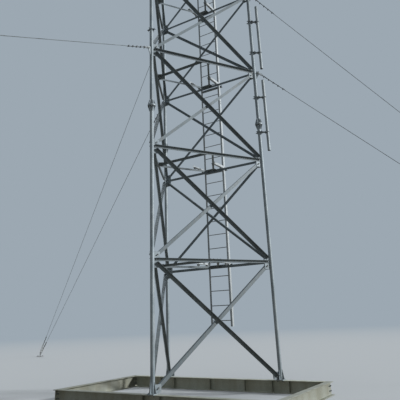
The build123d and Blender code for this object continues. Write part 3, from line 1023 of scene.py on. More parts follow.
@dataclass(frozen=True)
class RungRow:
    """Round rungs welded between two stiles, evenly spaced."""

    count: int
    start: Vector
    spacing: float
    radius: float
    length: float
    # The rungs are drawn darker than the stiles: painted shade.
    tone: float = -0.4

    def onto(self, stiles: Mesh, name: str) -> Object:
        """Adds the rungs and their weld beads to a mesh of the stiles.

        Args:
            stiles: The mesh.
            name: Name of the piece.

        Returns:
            The piece.
        """
        grown = GrownPiece("ladder_rungs")
        radius = grown.size("Rung Radius")
        length = grown.size("Rung Length")
        spacing = grown.size("Spacing")
        tone = grown.size("Tone")
        count = grown.size("Count", "NodeSocketInt")
        start = grown.size("First Rung", "NodeSocketVector")
        bead = grown.add("ShaderNodeMath", {0: radius, 1: 1.45}, operation="MULTIPLY")
        parts = [grown.drum(14, radius, length, (0.0, 0.0, 0.0))]
        for half, seat in ((0.5, -0.0045), (-0.5, 0.0045)):
            parts.append(grown.drum(14, bead, 0.005, grown.height(length, half, seat)))
        joined = grown.add("GeometryNodeJoinGeometry", {0: parts})
        # Stores the rungs' painted shade as their face tone.
        shaded = {"Geometry": joined, "Name": "tone", "Value": tone}
        rung = grown.add("GeometryNodeStoreNamedAttribute", shaded, data_type="FLOAT", domain="FACE")
        step = grown.add("ShaderNodeCombineXYZ", {"Z": spacing})
        row = grown.add("GeometryNodeMeshLine", {"Count": count, "Start Location": start, "Offset": step})
        placed = {"Points": row, "Instance": rung, "Rotation": (0.0, pi / 2, 0.0)}
        rungs = grown.add("GeometryNodeInstanceOnPoints", placed)
        grown.close(grown.add("GeometryNodeJoinGeometry", {0: [grown.entry.outputs[0], rungs]}))
        values = {
            "Rung Radius": self.radius,
            "Rung Length": self.length,
            "Spacing": self.spacing,
            "Count": self.count,
            "First Rung": self.start,
            "Tone": self.tone,
            "Finish": Finish.LADDER.material,
        }
        return grown.grow(stiles, name, values)


@dataclass(frozen=True)
class LaidRope:
    """Wire rope of six strands, laid up along a line of points."""

    diameter: float = 0.014
    lay: float = 0.105
    steps_a_turn: int = 8

    def along(self, line: Sequence[Vector], name: str) -> Object:
        """Lays the rope along a line.

        Args:
            line: The line of its centre.
            name: Name of the piece.

        Returns:
            The piece.
        """
        grown = GrownPiece("laid_rope")
        diameter = grown.size("Diameter")
        lay = grown.size("Lay")
        step = grown.size("Step")
        radius = grown.add("ShaderNodeMath", {0: diameter, 1: 0.5}, operation="MULTIPLY")
        groove = grown.add("ShaderNodeMath", {0: radius, 1: 0.78}, operation="MULTIPLY")
        path = grown.add("GeometryNodeMeshToCurve", {0: grown.entry.outputs[0]})
        fine = grown.add("GeometryNodeResampleCurve", {"Curve": path, "Length": step}, mode="LENGTH")
        run = grown.add("GeometryNodeSplineParameter", output="Length")
        turns = grown.add("ShaderNodeMath", {0: run, 1: lay}, operation="DIVIDE")
        twist = grown.add("ShaderNodeMath", {0: turns, 1: tau}, operation="MULTIPLY")
        laid = grown.add("GeometryNodeSetCurveTilt", {"Curve": fine, "Tilt": twist})
        star = {"Points": 6, "Inner Radius": groove, "Outer Radius": radius, "Twist": 0.0}
        strands = grown.add("GeometryNodeCurveStar", star)
        swept = {"Curve": laid, "Profile Curve": strands, "Fill Caps": True}
        grown.close(grown.add("GeometryNodeCurveToMesh", swept))
        mesh = bpy.data.meshes.new(name)
        edges = [(i, i + 1) for i in range(len(line) - 1)]
        mesh.from_pydata([tuple(point) for point in line], edges, [])
        values = {"Diameter": self.diameter, "Lay": self.lay, "Step": self.lay / self.steps_a_turn}
        values["Finish"] = Finish.ROPE.material
        return grown.grow(mesh, name, values)


@dataclass
class RopeGrips:
    """U-bolt grips that hold a rope's tail to its standing part."""

    rope: float = 0.014
    spread: float = 0.0146
    points: list[Vector] = field(default_factory=list)
    axes: list[Vector] = field(default_factory=list)
    sides: list[Vector] = field(default_factory=list)

    def add(self, point: Vector, axis: Vector, side: Vector) -> None:
        """Adds a grip.

        Args:
            point: Its place on the standing part.
            axis: Direction of the guy.
            side: Direction in which the tail lies off.
        """
        self.points.append(point)
        self.axes.append(axis)
        self.sides.append(side)

    def build(self, name: str) -> None:
        """Makes the grips one piece, each with a saddle, a U-bolt and two nuts.

        Args:
            name: Name of the piece.
        """
        grown = GrownPiece("rope_grips")
        rope = grown.size("Rope Diameter")
        spread = grown.size("Spread")
        spread = grown.add("ShaderNodeMath", {0: spread, 1: rope}, operation="DIVIDE")
        wire = grown.add("GeometryNodeCurvePrimitiveCircle", {"Resolution": 8, "Radius": 0.36})
        bend = {"Resolution": 9, "Radius": 1.0, "Start Angle": 0.0, "Sweep Angle": pi}
        bend = grown.add("GeometryNodeCurveArc", bend)
        swept = {"Curve": bend, "Profile Curve": wire, "Fill Caps": True}
        off = grown.add("ShaderNodeCombineXYZ", {"Y": spread})
        bow = {"Geometry": grown.add("GeometryNodeCurveToMesh", swept), "Translation": off}
        parts = [grown.add("GeometryNodeTransform", bow)]
        length = grown.add("ShaderNodeMath", {0: spread, 1: 1.95}, operation="ADD")
        for side in (-1.0, 1.0):
            leg = grown.drum(8, 0.36, length, grown.height(length, 0.5, -1.95))
            both = [leg, grown.drum(6, 0.66, 0.6, (0.0, 0.0, -1.5))]
            stood = {"Geometry": grown.add("GeometryNodeJoinGeometry", {0: both})}
            stood.update({"Rotation": (-pi / 2, 0.0, 0.0), "Translation": (side, 0.0, 0.0)})
            parts.append(grown.add("GeometryNodeTransform", stood))
        saddle = {"Geometry": grown.taper(8, (1.25, 1.65), 0.75, 0.45)}
        saddle.update({"Rotation": (pi / 2, 0.0, 0.0), "Scale": (1.0, 0.72, 0.95)})
        parts.append(grown.add("GeometryNodeTransform", saddle))
        axis, side = (
            grown.add("GeometryNodeInputNamedAttribute", {"Name": key}, data_type="FLOAT_VECTOR")
            for key in ("axis", "side")
        )
        ways = {"primary_axis": "Z", "secondary_axis": "Y"}
        placed = {
            "Points": grown.entry.outputs[0],
            "Instance": grown.add("GeometryNodeJoinGeometry", {0: parts}),
            "Rotation": grown.add("FunctionNodeAxesToRotation", {0: axis, 1: side}, **ways),
            "Scale": rope,
        }
        grown.close(grown.add("GeometryNodeInstanceOnPoints", placed))
        mesh = point_mesh(name, self.points, axis=self.axes, side=self.sides)
        values = {"Rope Diameter": self.rope, "Spread": self.spread, "Finish": Finish.GRIP.material}
        hand_over(grown.grow(mesh, name, values))


def washer(work: Steelwork, place: Place, size: float) -> None:
    """Adds a washer, lying on a plane.

    Args:
        work: The piece that it belongs to.
        place: The plane.
        size: Diameter of its bolt.
    """
    top = size * 0.17
    section = [(size / 2, 0.0), (size, 0.0), (size, top), (size / 2, top)]
    work.turned(section, place, 16, ring=True)


def nut(work: Steelwork, place: Place, size: float) -> None:
    """Adds a washer and a hexagon nut for a bolt size, on a plane."""
    washer(work, place, size)
    work.plate(circle(size * 0.87, 6), place, size * 0.17, size * 0.97, bevel=size * 0.05)


def thread(work: Steelwork, place: Place, radius: float, low: float, high: float) -> None:
    """Adds a threaded rod along a plane's z.

    Args:
        work: The piece that it belongs to.
        place: The plane.
        radius: Radius over the thread.
        low: Where it starts along z.
        high: Where it ends.
    """
    pitch = radius * 0.27
    count = max(1, round((high - low) / pitch))
    step = (high - low) / count
    profile: Outline = [(0.0, low), (radius * 0.86, low)]
    for number in range(count):
        profile.append((radius, low + step * (number + 0.5)))
        profile.append((radius * 0.86, low + step * (number + 1)))
    profile.append((0.0, high))
    work.turned(profile, place, 12)


@dataclass
class TowerLegs:
    """Tubular legs in three flanged sections, with all that is welded to them."""

    plan: TowerPlan
    radius: float = 0.04445
    wall: float = 0.005
    flange_radius: float = 0.095
    flange_thickness: float = 0.016
    rib_count: int = 6
    rib_height: float = 0.13
    gusset_reach: float = 0.178
    gusset_half: float = 0.165
    gusset_corner: float = 0.014
    foot_half: float = 0.085
    foot_thickness: float = 0.016
    fin_height: float = 0.2
    bolt_circle: float = 0.073
    rib_half: float = 0.004
    rib_seam: float = 0.005
    weld_root: float = 0.0025
    sides: int = 48
    flange_bolts: BoltSet = bolt_set("splice_flange_bolts", 0.016, 0.032, "leg_tube")
    foot_bolts: BoltSet = bolt_set("foot_plate_bolts", 0.016, 0.028, "leg_tube")

    def foot(self, work: Steelwork, leg: Leg) -> None:
        """Adds the square foot plate and its fins to a leg, and sets its bolts.

        Args:
            work: The leg section.
            leg: The leg.
        """
        base = self.plan.base
        centre = Place(heading(leg.value) * self.plan.reach + UP * base, X_AXIS, Y_AXIS)
        square = rounded_box(self.foot_half, self.foot_half, 0.006)
        work.plate(square, centre, 0.0, self.foot_thickness, [circle(0.015, 20)])
        work.collar(centre, self.radius, self.foot_thickness + 0.002)
        for angle in (0, 90, 180, 270):
            along = heading(angle)
            if any(along.dot(heading(face.value + side)) > 0.99 for face, side in self.faces_of(leg)):
                continue
            upright = Place(centre.origin + UP * self.foot_thickness, along, UP)
            root, top, edge = self.radius - self.weld_root, self.fin_height, self.foot_half - 0.001
            outline = [(root, 0.0), (edge, 0.0), (edge, 0.015), (root + 0.008, top), (root, top)]
            work.plate(outline, upright, -self.rib_half, self.rib_half)
            seams = [(self.radius, 0.004, self.radius, top - 0.004)]
            seams.append((self.radius, 0.001, self.foot_half - 0.004, 0.001))
            work.seams(upright, self.rib_seam, seams)
        for a in (-0.06, 0.06):
            for b in (-0.045, 0.045):
                self.foot_bolts.add(centre.at(a, b, self.foot_thickness), UP)

    @staticmethod
    def faces_of(leg: Leg) -> list[tuple[Face, int]]:
        """The two faces that meet at a leg, each with the turn towards its other leg."""
        number = LEGS.index(leg)
        return [(FACES[number], 90), (FACES[number - 1], -90)]

    def gussets(self, work: Steelwork, leg: Leg, level: int) -> None:
        """Adds the two gusset plates of a leg at a level.

        Args:
            work: The leg section.
            leg: The leg.
            level: Number of the level.
        """
        low = self.foot_thickness if level == 0 else -self.gusset_half
        high, corner, root = self.gusset_half, self.gusset_corner, self.radius - self.weld_root
        outer = self.gusset_reach - corner
        rounded = arc((outer, low + corner), corner, 270, 360, 4)
        rounded += arc((outer, high - corner), corner, 0, 90, 4)
        for face, side in self.faces_of(leg):
            plane = self.plan.upright(leg, self.plan.level(level), face.value + side - leg.value)
            work.plate([(root, low), *rounded, (root, high)], plane, -self.rib_half, self.rib_half)
            work.seams(plane, self.rib_seam, [(self.radius, low + 0.003, self.radius, high - 0.003)])

    def splice(self, work: Steelwork, leg: Leg, height: float, up: bool, open_end: bool = False) -> None:
        """Adds a splice flange with its ribs.

        Args:
            work: The leg section.
            leg: The leg.
            height: Height of the joint.
            up: Whether the flange is on the upper side of the joint.
            open_end: Whether its bolt holes are free.
        """
        sign = 1 if up else -1
        place = self.plan.leg_place(leg, height)
        low, high = sorted((0.0, sign * self.flange_thickness))
        holes = [circle(self.radius - self.wall, 40)]
        deck = place
        if open_end:
            holes += [circle(0.009, 16, point) for point in circle(self.bolt_circle, 6)]
            deck = self.plan.leg_place(leg, height, 30)
        work.plate(circle(self.flange_radius, 48), deck, low, high, holes)
        seat = sign * self.flange_thickness
        work.collar(place, self.radius, seat + sign * 0.002)
        root, top, edge = self.radius - self.weld_root, sign * self.rib_height, self.flange_radius - 0.006
        outline = [(root, 0.0), (edge, 0.0), (edge, sign * 0.012), (root + 0.012, top), (root, top)]
        seam = (self.radius, sign * 0.004, self.radius, sign * (self.rib_height - 0.004))
        for number in range(self.rib_count):
            upright = self.plan.upright(leg, height + seat, number * 360 / self.rib_count)
            work.plate(outline, upright, -self.rib_half, self.rib_half)
            work.seams(upright, self.rib_seam, [seam])

    def lug(self, work: Steelwork, leg: Leg, level: int) -> None:
        """Adds the lug that a guy is pinned to.

        Args:
            work: The leg section.
            leg: The leg.
            level: Number of its level.
        """
        plane = self.plan.upright(leg, self.plan.level(level))
        root, outer = self.radius - self.weld_root, self.radius + 0.092
        outline = [(root, -0.17), (root + 0.01, -0.17), (outer, -0.02)]
        outline += [*arc((outer - 0.012, 0.033), 0.012, 0, 90, 4), (root, 0.045)]
        work.plate(outline, plane, -0.008, 0.008, [circle(0.013, 20, (self.plan.lug_hole, 0.0))])
        work.seams(plane, 0.009, [(self.radius, -0.166, self.radius, 0.042)], 0.005)

    def build(self) -> None:
        """Makes the nine leg sections and the bolts of their flanges and feet."""
        ends = [self.plan.base, *self.plan.splices, self.plan.top]
        for leg in LEGS:
            for section, name in enumerate(("lower", "middle", "top")):
                bottom, top = ends[section], ends[section + 1]
                work = Steelwork(leg.value + section)
                work.next_bar(0.05)
                tube_bottom = bottom + self.foot_thickness if section == 0 else bottom
                axis = self.plan.leg_place(leg, 0.0)
                work.pipe(axis, self.radius, self.radius - self.wall, tube_bottom, top, self.sides)
                if section == 0:
                    self.foot(work, leg)
                else:
                    self.splice(work, leg, bottom, up=True)
                self.splice(work, leg, top, up=False, open_end=section == 2)
                for level in range(self.plan.bays + 1):
                    if bottom <= self.plan.level(level) < top:
                        self.gussets(work, leg, level)
                        if level in self.plan.guy_levels:
                            self.lug(work, leg, level)
                node = f"{leg.name.lower()}_leg_{name}"
                build_piece(f"{node}_tube", work, Finish.LEG, [node])
            for joint in self.plan.splices:
                place = self.plan.leg_place(leg, joint + self.flange_thickness, 30)
                for a, b in circle(self.bolt_circle, 6):
                    self.flange_bolts.add(place.at(a, b), UP)
        self.flange_bolts.build()
        self.foot_bolts.build()


@dataclass
class FaceBracing:
    """Horizontals and crossed diagonals of the three faces, bolted to the gussets."""

    plan: TowerPlan
    diagonal: float = 0.07
    horizontal: float = 0.063
    thickness: float = 0.005
    gap: float = 0.004
    diagonal_end: float = 0.115
    horizontal_end: float = 0.062
    plate_half: float = 0.16
    plate_thickness: float = 0.006
    bolt_steps: tuple[float, float] = (0.135, 0.162)
    outer_bolts: BoltSet = bolt_set("bracing_bolts", 0.016, 0.013, "angle_bar")
    crossing_bolts: BoltSet = bolt_set("crossing_bolts", 0.016, 0.018, "angle_bar")
    plate_bolts: BoltSet = bolt_set("plan_plate_bolts", 0.012, 0.011, "angle_bar")

    def horizontals(self, face: Face) -> Steelwork:
        """Makes a face's horizontals with the plates for the plan bracing.

        Args:
            face: The face.

        Returns:
            The bars and plates.
        """
        work = Steelwork(face.value)
        reach = self.plan.face_width / 2 - self.horizontal_end
        for level in range(1, self.plan.bays + 1):
            plane = self.plan.face_place(face, self.plan.level(level))
            ends = (plane.at(reach, 0), plane.at(-reach, 0))
            angle_bar(work, *ends, plane.z, self.horizontal, self.thickness, self.gap, 1)
            deck = Place(plane.at(0, self.horizontal / 2), plane.x, -plane.z)
            work.next_bar()
            outline = rounded_box(self.plate_half, 0.075, 0.004, 2)
            work.plate([(a, b + 0.031) for a, b in outline], deck, 0.0, self.plate_thickness)
            for a in (-0.125, -0.05, 0.05, 0.125):
                self.plate_bolts.add(deck.at(a, -0.026, self.plate_thickness), UP)
            for side in (-1, 1):
                for step in (0.03, 0.075):
                    point = plane.at(side * (reach - step), 0.004, self.gap + self.thickness)
                    self.outer_bolts.add(point, plane.z)
        return work

    def diagonals(self, face: Face, outer: bool) -> Steelwork:
        """Makes a face's outer or inner diagonals.

        Args:
            face: The face.
            outer: Whether they lie outside the gusset plates.

        Returns:
            The bars.
        """
        work = Steelwork(face.value + (1 if outer else 2))
        half = self.plan.face_width / 2
        side = 1 if outer else -1
        for bay in range(self.plan.bays):
            plane = self.plan.face_place(face, self.plan.level(bay))
            low = plane.at(side * half, 0.0)
            high = plane.at(-side * half, self.plan.bay)
            run = (high - low).normalized()
            outward = plane.z * side
            ends = [low + run * self.diagonal_end, high - run * self.diagonal_end][::side]
            edge = 1 if (ends[1] - ends[0]).cross(outward).z > 0 else -1
            angle_bar(work, *ends, outward, self.diagonal, self.thickness, self.gap, edge)
            for step in self.bolt_steps:
                for end_point, along in ((low, run), (high, -run)):
                    point = end_point + along * step + outward * (self.gap + self.thickness)
                    self.outer_bolts.add(point, outward)
            if not outer:
                ring = [(0.009, -self.gap), (0.03, -self.gap), (0.03, self.gap), (0.009, self.gap)]
                work.turned(ring, plane.moved(0.0, self.plan.bay / 2), 28, ring=True)
                point = plane.at(0.0, self.plan.bay / 2, self.gap + self.thickness)
                self.crossing_bolts.add(point, plane.z)
        return work

    def build(self) -> None:
        """Makes the nine sets of bars and their bolts."""
        for face in FACES:
            name = face.name.lower()
            rails = self.horizontals(face)
            build_piece(f"{name}_face_rails", rails, Finish.BAR, [f"{name}_horizontals"])
            for outer, side in ((True, "outer"), (False, "inner")):
                bars, node = self.diagonals(face, outer), f"{name}_{side}_diagonals"
                build_piece(f"{name}_{side}_cross_bars", bars, Finish.BAR, [node])
        self.outer_bolts.build()
        self.crossing_bolts.build()
        self.plate_bolts.build()


@dataclass
class PlanBracing:
    """At each level a triangle of three bars between the middles of the horizontals."""

    plan: TowerPlan
    width: float = 0.05
    thickness: float = 0.005
    spread: float = 0.1
    setback: float = 0.05
    end_margin: float = 0.03
    lift: float = 0.0315
    bolts: BoltSet = bolt_set("plan_brace_bolts", 0.012, 0.011, "angle_bar")

    def build(self) -> None:
        """Makes the bars, as one piece for each leg that they stand before."""
        for number, leg in enumerate(LEGS):
            work = Steelwork(leg.value + 3)
            for level in range(1, self.plan.bays + 1):
                height = self.plan.level(level) + self.lift
                first = self.plan.face_place(FACES[number - 1], height)
                second = self.plan.face_place(FACES[number], height)
                start = first.at(self.spread, 0.0, -self.setback)
                end = second.at(-self.spread, 0.0, -self.setback)
                along = (end - start).normalized()
                margin = along * self.end_margin
                angle_bar(work, start - margin, end + margin, -UP, self.width, self.thickness, 0.0, 1)
                for point, inwards in ((start, along), (end, -along)):
                    for step in (-0.008, 0.042):
                        self.bolts.add(point + inwards * step + UP * 0.006, UP)
            name = f"{leg.name.lower()}_plan_braces"
            build_piece(f"{name}_bars", work, Finish.BAR, [name])
        self.bolts.build()


@dataclass
class Ladder:
    """Ladder behind the rear face: angle stiles, welded rungs and the arms that hold it."""

    plan: TowerPlan
    half_width: float = 0.3
    front: float = 1.02603
    face: float = 0.05
    depth: float = 0.075
    thickness: float = 0.005
    starts: tuple[float, ...] = (1.36, 7.36, 13.36)
    margins: tuple[float, ...] = (0.14, 0.21, 0.21)
    rung_radius: float = 0.01
    rung_spacing: float = 0.35
    arm: float = 0.06
    packing: float = 0.05
    packing_places: tuple[float, float] = (0.50426, 0.90153)
    cross: float = 0.05
    joint_tone: float = -0.35
    # The left stile's colour is drawn darker: painted shade.
    left_stile_shade: float = -0.2
    joint_bolts: BoltSet = bolt_set("ladder_joint_bolts", 0.012, 0.011, "ladder_steel")
    arm_bolts: BoltSet = bolt_set("ladder_arm_bolts", 0.012, 0.01, "ladder_steel")
    packing_bolts: BoltSet = bolt_set("ladder_packing_bolts", 0.012, 0.06, "ladder_steel")

    def sections(self) -> None:
        """Makes the three ladder sections."""
        ends = [*self.starts[1:], self.plan.top]
        for number, name in enumerate(("lower", "middle", "top")):
            start, end = self.starts[number], ends[number]
            work = Steelwork(40 + number)
            for side in (-1, 1):
                corner = Vector((side * self.half_width, self.front, 0.0))
                heel = Place(corner, Vector((-side, 0, 0)), Y_AXIS)
                work.next_bar(0.04)
                # Painted shade: the left stile is drawn darker than the right one.
                if side < 0:
                    work.tone += self.left_stile_shade
                span = (start, end) if heel.z.z > 0 else (-end, -start)
                work.prism(rolled_angle(self.face, self.depth, self.thickness), heel, *span)
            first = start + self.margins[number]
            count = 1 + int((end - 0.02 - first - 1e-6) / self.rung_spacing)
            middle = Vector((0.0, self.front + 0.04, first))
            length = 2 * self.half_width - self.thickness
            rungs = RungRow(count, middle, self.rung_spacing, self.rung_radius, length)
            piece = rungs.onto(work.mesh(f"ladder_{name}_stiles"), f"ladder_{name}_section")
            hand_over(piece, [f"ladder_{name}"])

    def joints(self) -> None:
        """Makes the splice plates inside the stiles, with their bolts."""
        work = Steelwork(44)
        work.tone = self.joint_tone
        middle = self.front + 0.04
        for joint in self.starts[1:]:
            for side in (-1, 1):
                place = Place(Vector((side * 0.295, middle, joint)), Y_AXIS, UP)
                inner = place.z.dot(Vector((-side, 0, 0))) * 0.006
                low, high = sorted((0.0, inner))
                work.plate(rounded_box(0.023, 0.15, 0.004, 2), place, low, high)
                for step in (-0.11, -0.05, 0.05, 0.11):
                    point = Vector((side * self.half_width, middle, joint + step))
                    self.joint_bolts.add(point, Vector((side, 0, 0)))
        build_piece("ladder_joint_plates", work, Finish.LADDER, ["ladder_splice_plates"])
        self.joint_bolts.build()

    def arms(self) -> None:
        """Makes the arms, their packing tubes and the cross angles behind the stiles."""
        arms = Steelwork(45)
        crosses = Steelwork(46)
        outer = self.half_width + self.thickness
        for level in range(1, self.plan.bays + 1):
            deck = self.plan.level(level) + 0.0315
            low = deck + self.packing
            for side in (-1, 1):
                heel = Vector((side * outer, 0.0, low))
                inward = Vector((-side, 0, 0))
                profile = Place(heel, inward, UP)
                flip = 1 if profile.z.y > 0 else -1
                span = sorted((flip * 0.45926, flip * (self.front - 0.004)))
                arms.next_bar(0.04)
                arms.prism(rolled_angle(self.arm, self.arm, self.thickness), profile, *span)
                reach = (self.front - 0.0041, self.front + self.depth + self.thickness)
                near, far = sorted(flip * y for y in reach)
                arms.box(profile, (0.0, 0.0, near), (self.thickness, self.arm, far))
                for middle in self.packing_places:
                    half = self.packing / 2
                    tube = Place(Vector((side * 0.28, middle, deck + half)), Y_AXIS, UP)
                    section = rounded_box(half, half, 0.006)
                    bore = rounded_box(half - 0.005, half - 0.005, 0.003)
                    arms.plate(section, tube, -half, half, [bore])
                    self.packing_bolts.add(Vector((side * 0.28, middle, low + self.thickness)), UP)
                stile = self.front + 0.05
                self.arm_bolts.add(Vector((side * outer, stile, low + 0.03)), Vector((side, 0, 0)))
            crosses.next_bar()
            start = Vector((-0.35, self.front + self.depth, low - self.cross / 2))
            end = Vector((0.35, start.y, start.z))
            angle_bar(crosses, start, end, Y_AXIS, self.cross, self.thickness, 0.0, -1)
        build_piece("ladder_arm_bars", arms, Finish.LADDER, ["ladder_arms"])
        build_piece("ladder_cross_bars", crosses, Finish.BAR, ["ladder_cross_angles"])
        self.arm_bolts.build()
        self.packing_bolts.build()

    def build(self) -> None:
        """Makes the whole ladder."""
        self.sections()
        self.joints()
        self.arms()


@dataclass
class BaseFrame:
    """Rolled beams under the legs, stiffened at each foot and bolted at the corners."""

    plan: TowerPlan
    height: float = 0.25
    width: float = 0.14
    flange: float = 0.012
    web: float = 0.008
    side_x: float = 2.56
    end_gap: float = 0.002
    snipe: float = 0.014
    cleat_low: float = 0.04
    cleat_high: float = 0.21
    cleat_legs: tuple[float, float] = (0.07, 0.06)
    cleat_thickness: float = 0.008
    rear_offsets: tuple[float, ...] = (-1.7, -1.3, 1.3, 1.7, -0.28, 0.63)
    front_offsets: tuple[float, ...] = (-0.2, 0.2)
    # The beams' tones are painted light and shade: the rear beam lighter, the side and front beams and the
    # stiffeners darker.
    stiffener_shade: float = -0.3
    side_beam_shade: float = -0.25
    front_beam_shade: float = -0.15
    rear_beam_light: float = 0.2
    web_bolts: BoltSet = bolt_set("cleat_bolts_on_cross_beams", 0.016, 0.024, "beam_steel")
    side_bolts: BoltSet = bolt_set("cleat_bolts_on_side_beams", 0.016, 0.016, "beam_steel")

    def cross_beam(self, y_place: float, stiffeners: Sequence[float], seed: int, tone: float) -> Steelwork:
        """Makes a beam along X with its stiffeners.

        Args:
            y_place: Where it lies.
            stiffeners: Where its stiffeners stand along it.
            seed: Seed of its small differences.
            tone: How much lighter its colour is drawn than the other beams': painted light where above 0,
                painted shade where below.

        Returns:
            The beam.
        """
        work = Steelwork(seed)
        work.tone = tone
        half = self.side_x - self.width / 2 - self.end_gap
        section = rolled_beam(self.height, self.width, self.flange, self.web)
        place = Place(Vector((0.0, y_place, 0.0)), Y_AXIS, UP)
        work.prism(section, place, -half, half)
        web_end = self.side_x - self.web / 2
        upright = Place(Vector((0.0, y_place, 0.0)), X_AXIS, UP)
        for start, end in ((-web_end, -half), (half, web_end)):
            work.box(upright, (start, 0.03, -self.web / 2), (end, 0.22, self.web / 2))
        reach, inner, snipe = self.width / 2 - 0.004, self.web / 2, self.snipe
        low, high = self.flange, self.height - self.flange
        for offset in stiffeners:
            # Painted shade: the stiffeners are drawn darker than their beam.
            work.tone = tone + self.stiffener_shade
            side_on = Place(Vector((offset, y_place, 0.0)), Y_AXIS, UP)
            for hand in (-1, 1):
                cut, side, web = hand * (inner + snipe), hand * reach, hand * inner
                outline = [(cut, low), (side, low), (side, high), (cut, high)]
                outline += [(web, high - snipe), (web, low + snipe)]
                work.plate(outline, side_on, -0.004, 0.004)
                bottom, top, seam = low + 0.001, high - 0.001, hand * (inner + 0.001)
                seams = [(cut, edge, side, edge) for edge in (bottom, top)]
                seams.append((seam, bottom + snipe, seam, top - snipe))
                work.seams(side_on, 0.005, seams)
        return work

    def cleats(self) -> Steelwork:
        """Makes the eight corner cleats and sets their bolts.

        Returns:
            The cleats.
        """
        work = Steelwork(62)
        long_leg, short_leg = self.cleat_legs
        for side in (-1, 1):
            for y_place in (-self.plan.reach, self.plan.face_distance):
                for hand in (-1, 1):
                    half = self.web / 2
                    corner = Vector((side * (self.side_x - half), y_place + hand * half, 0.0))
                    place = Place(corner, Vector((-side, 0, 0)), Vector((0, hand, 0)))
                    span = sorted(place.z.z * end for end in (self.cleat_low, self.cleat_high))
                    work.next_bar(0.04)
                    work.prism(rolled_angle(long_leg, short_leg, self.cleat_thickness), place, *span)
                    for height in (0.08, 0.17):
                        point = corner + Vector((-side * self.cleat_thickness, hand * 0.034, height))
                        self.side_bolts.add(point, Vector((-side, 0, 0)))
                        if hand == 1:
                            point = corner + Vector((-side * 0.044, self.cleat_thickness, height))
                            self.web_bolts.add(point, Y_AXIS)
        return work

    def build(self) -> None:
        """Makes the four beams, the cleats and their bolts."""
        # Painted shade on the front and side beams and painted light on the rear beam.
        front = self.cross_beam(-self.plan.reach, self.front_offsets, 60, self.front_beam_shade)
        build_piece("front_beam_section", front, Finish.BEAM, ["front_beam"])
        rear = self.cross_beam(self.plan.face_distance, self.rear_offsets, 61, self.rear_beam_light)
        build_piece("rear_beam_section", rear, Finish.BEAM, ["rear_beam"])
        section = rolled_beam(self.height, self.width, self.flange, self.web)
        low = -self.plan.reach - self.width / 2
        high = self.plan.face_distance + self.width / 2
        for side, name in ((-1, "left"), (1, "right")):
            work = Steelwork(63 + side)
            # Painted shade: the side beams are drawn darker.
            work.tone = self.side_beam_shade
            place = Place(Vector((side * self.side_x, 0.0, 0.0)), Vector((-1, 0, 0)), UP)
            work.prism(section, place, low, high)
            build_piece(f"{name}_side_beam_section", work, Finish.BEAM, [f"{name}_side_beam"])
        build_piece("corner_cleats", self.cleats(), Finish.BEAM, ["beam_cleats"])
        self.web_bolts.build()
        self.side_bolts.build()


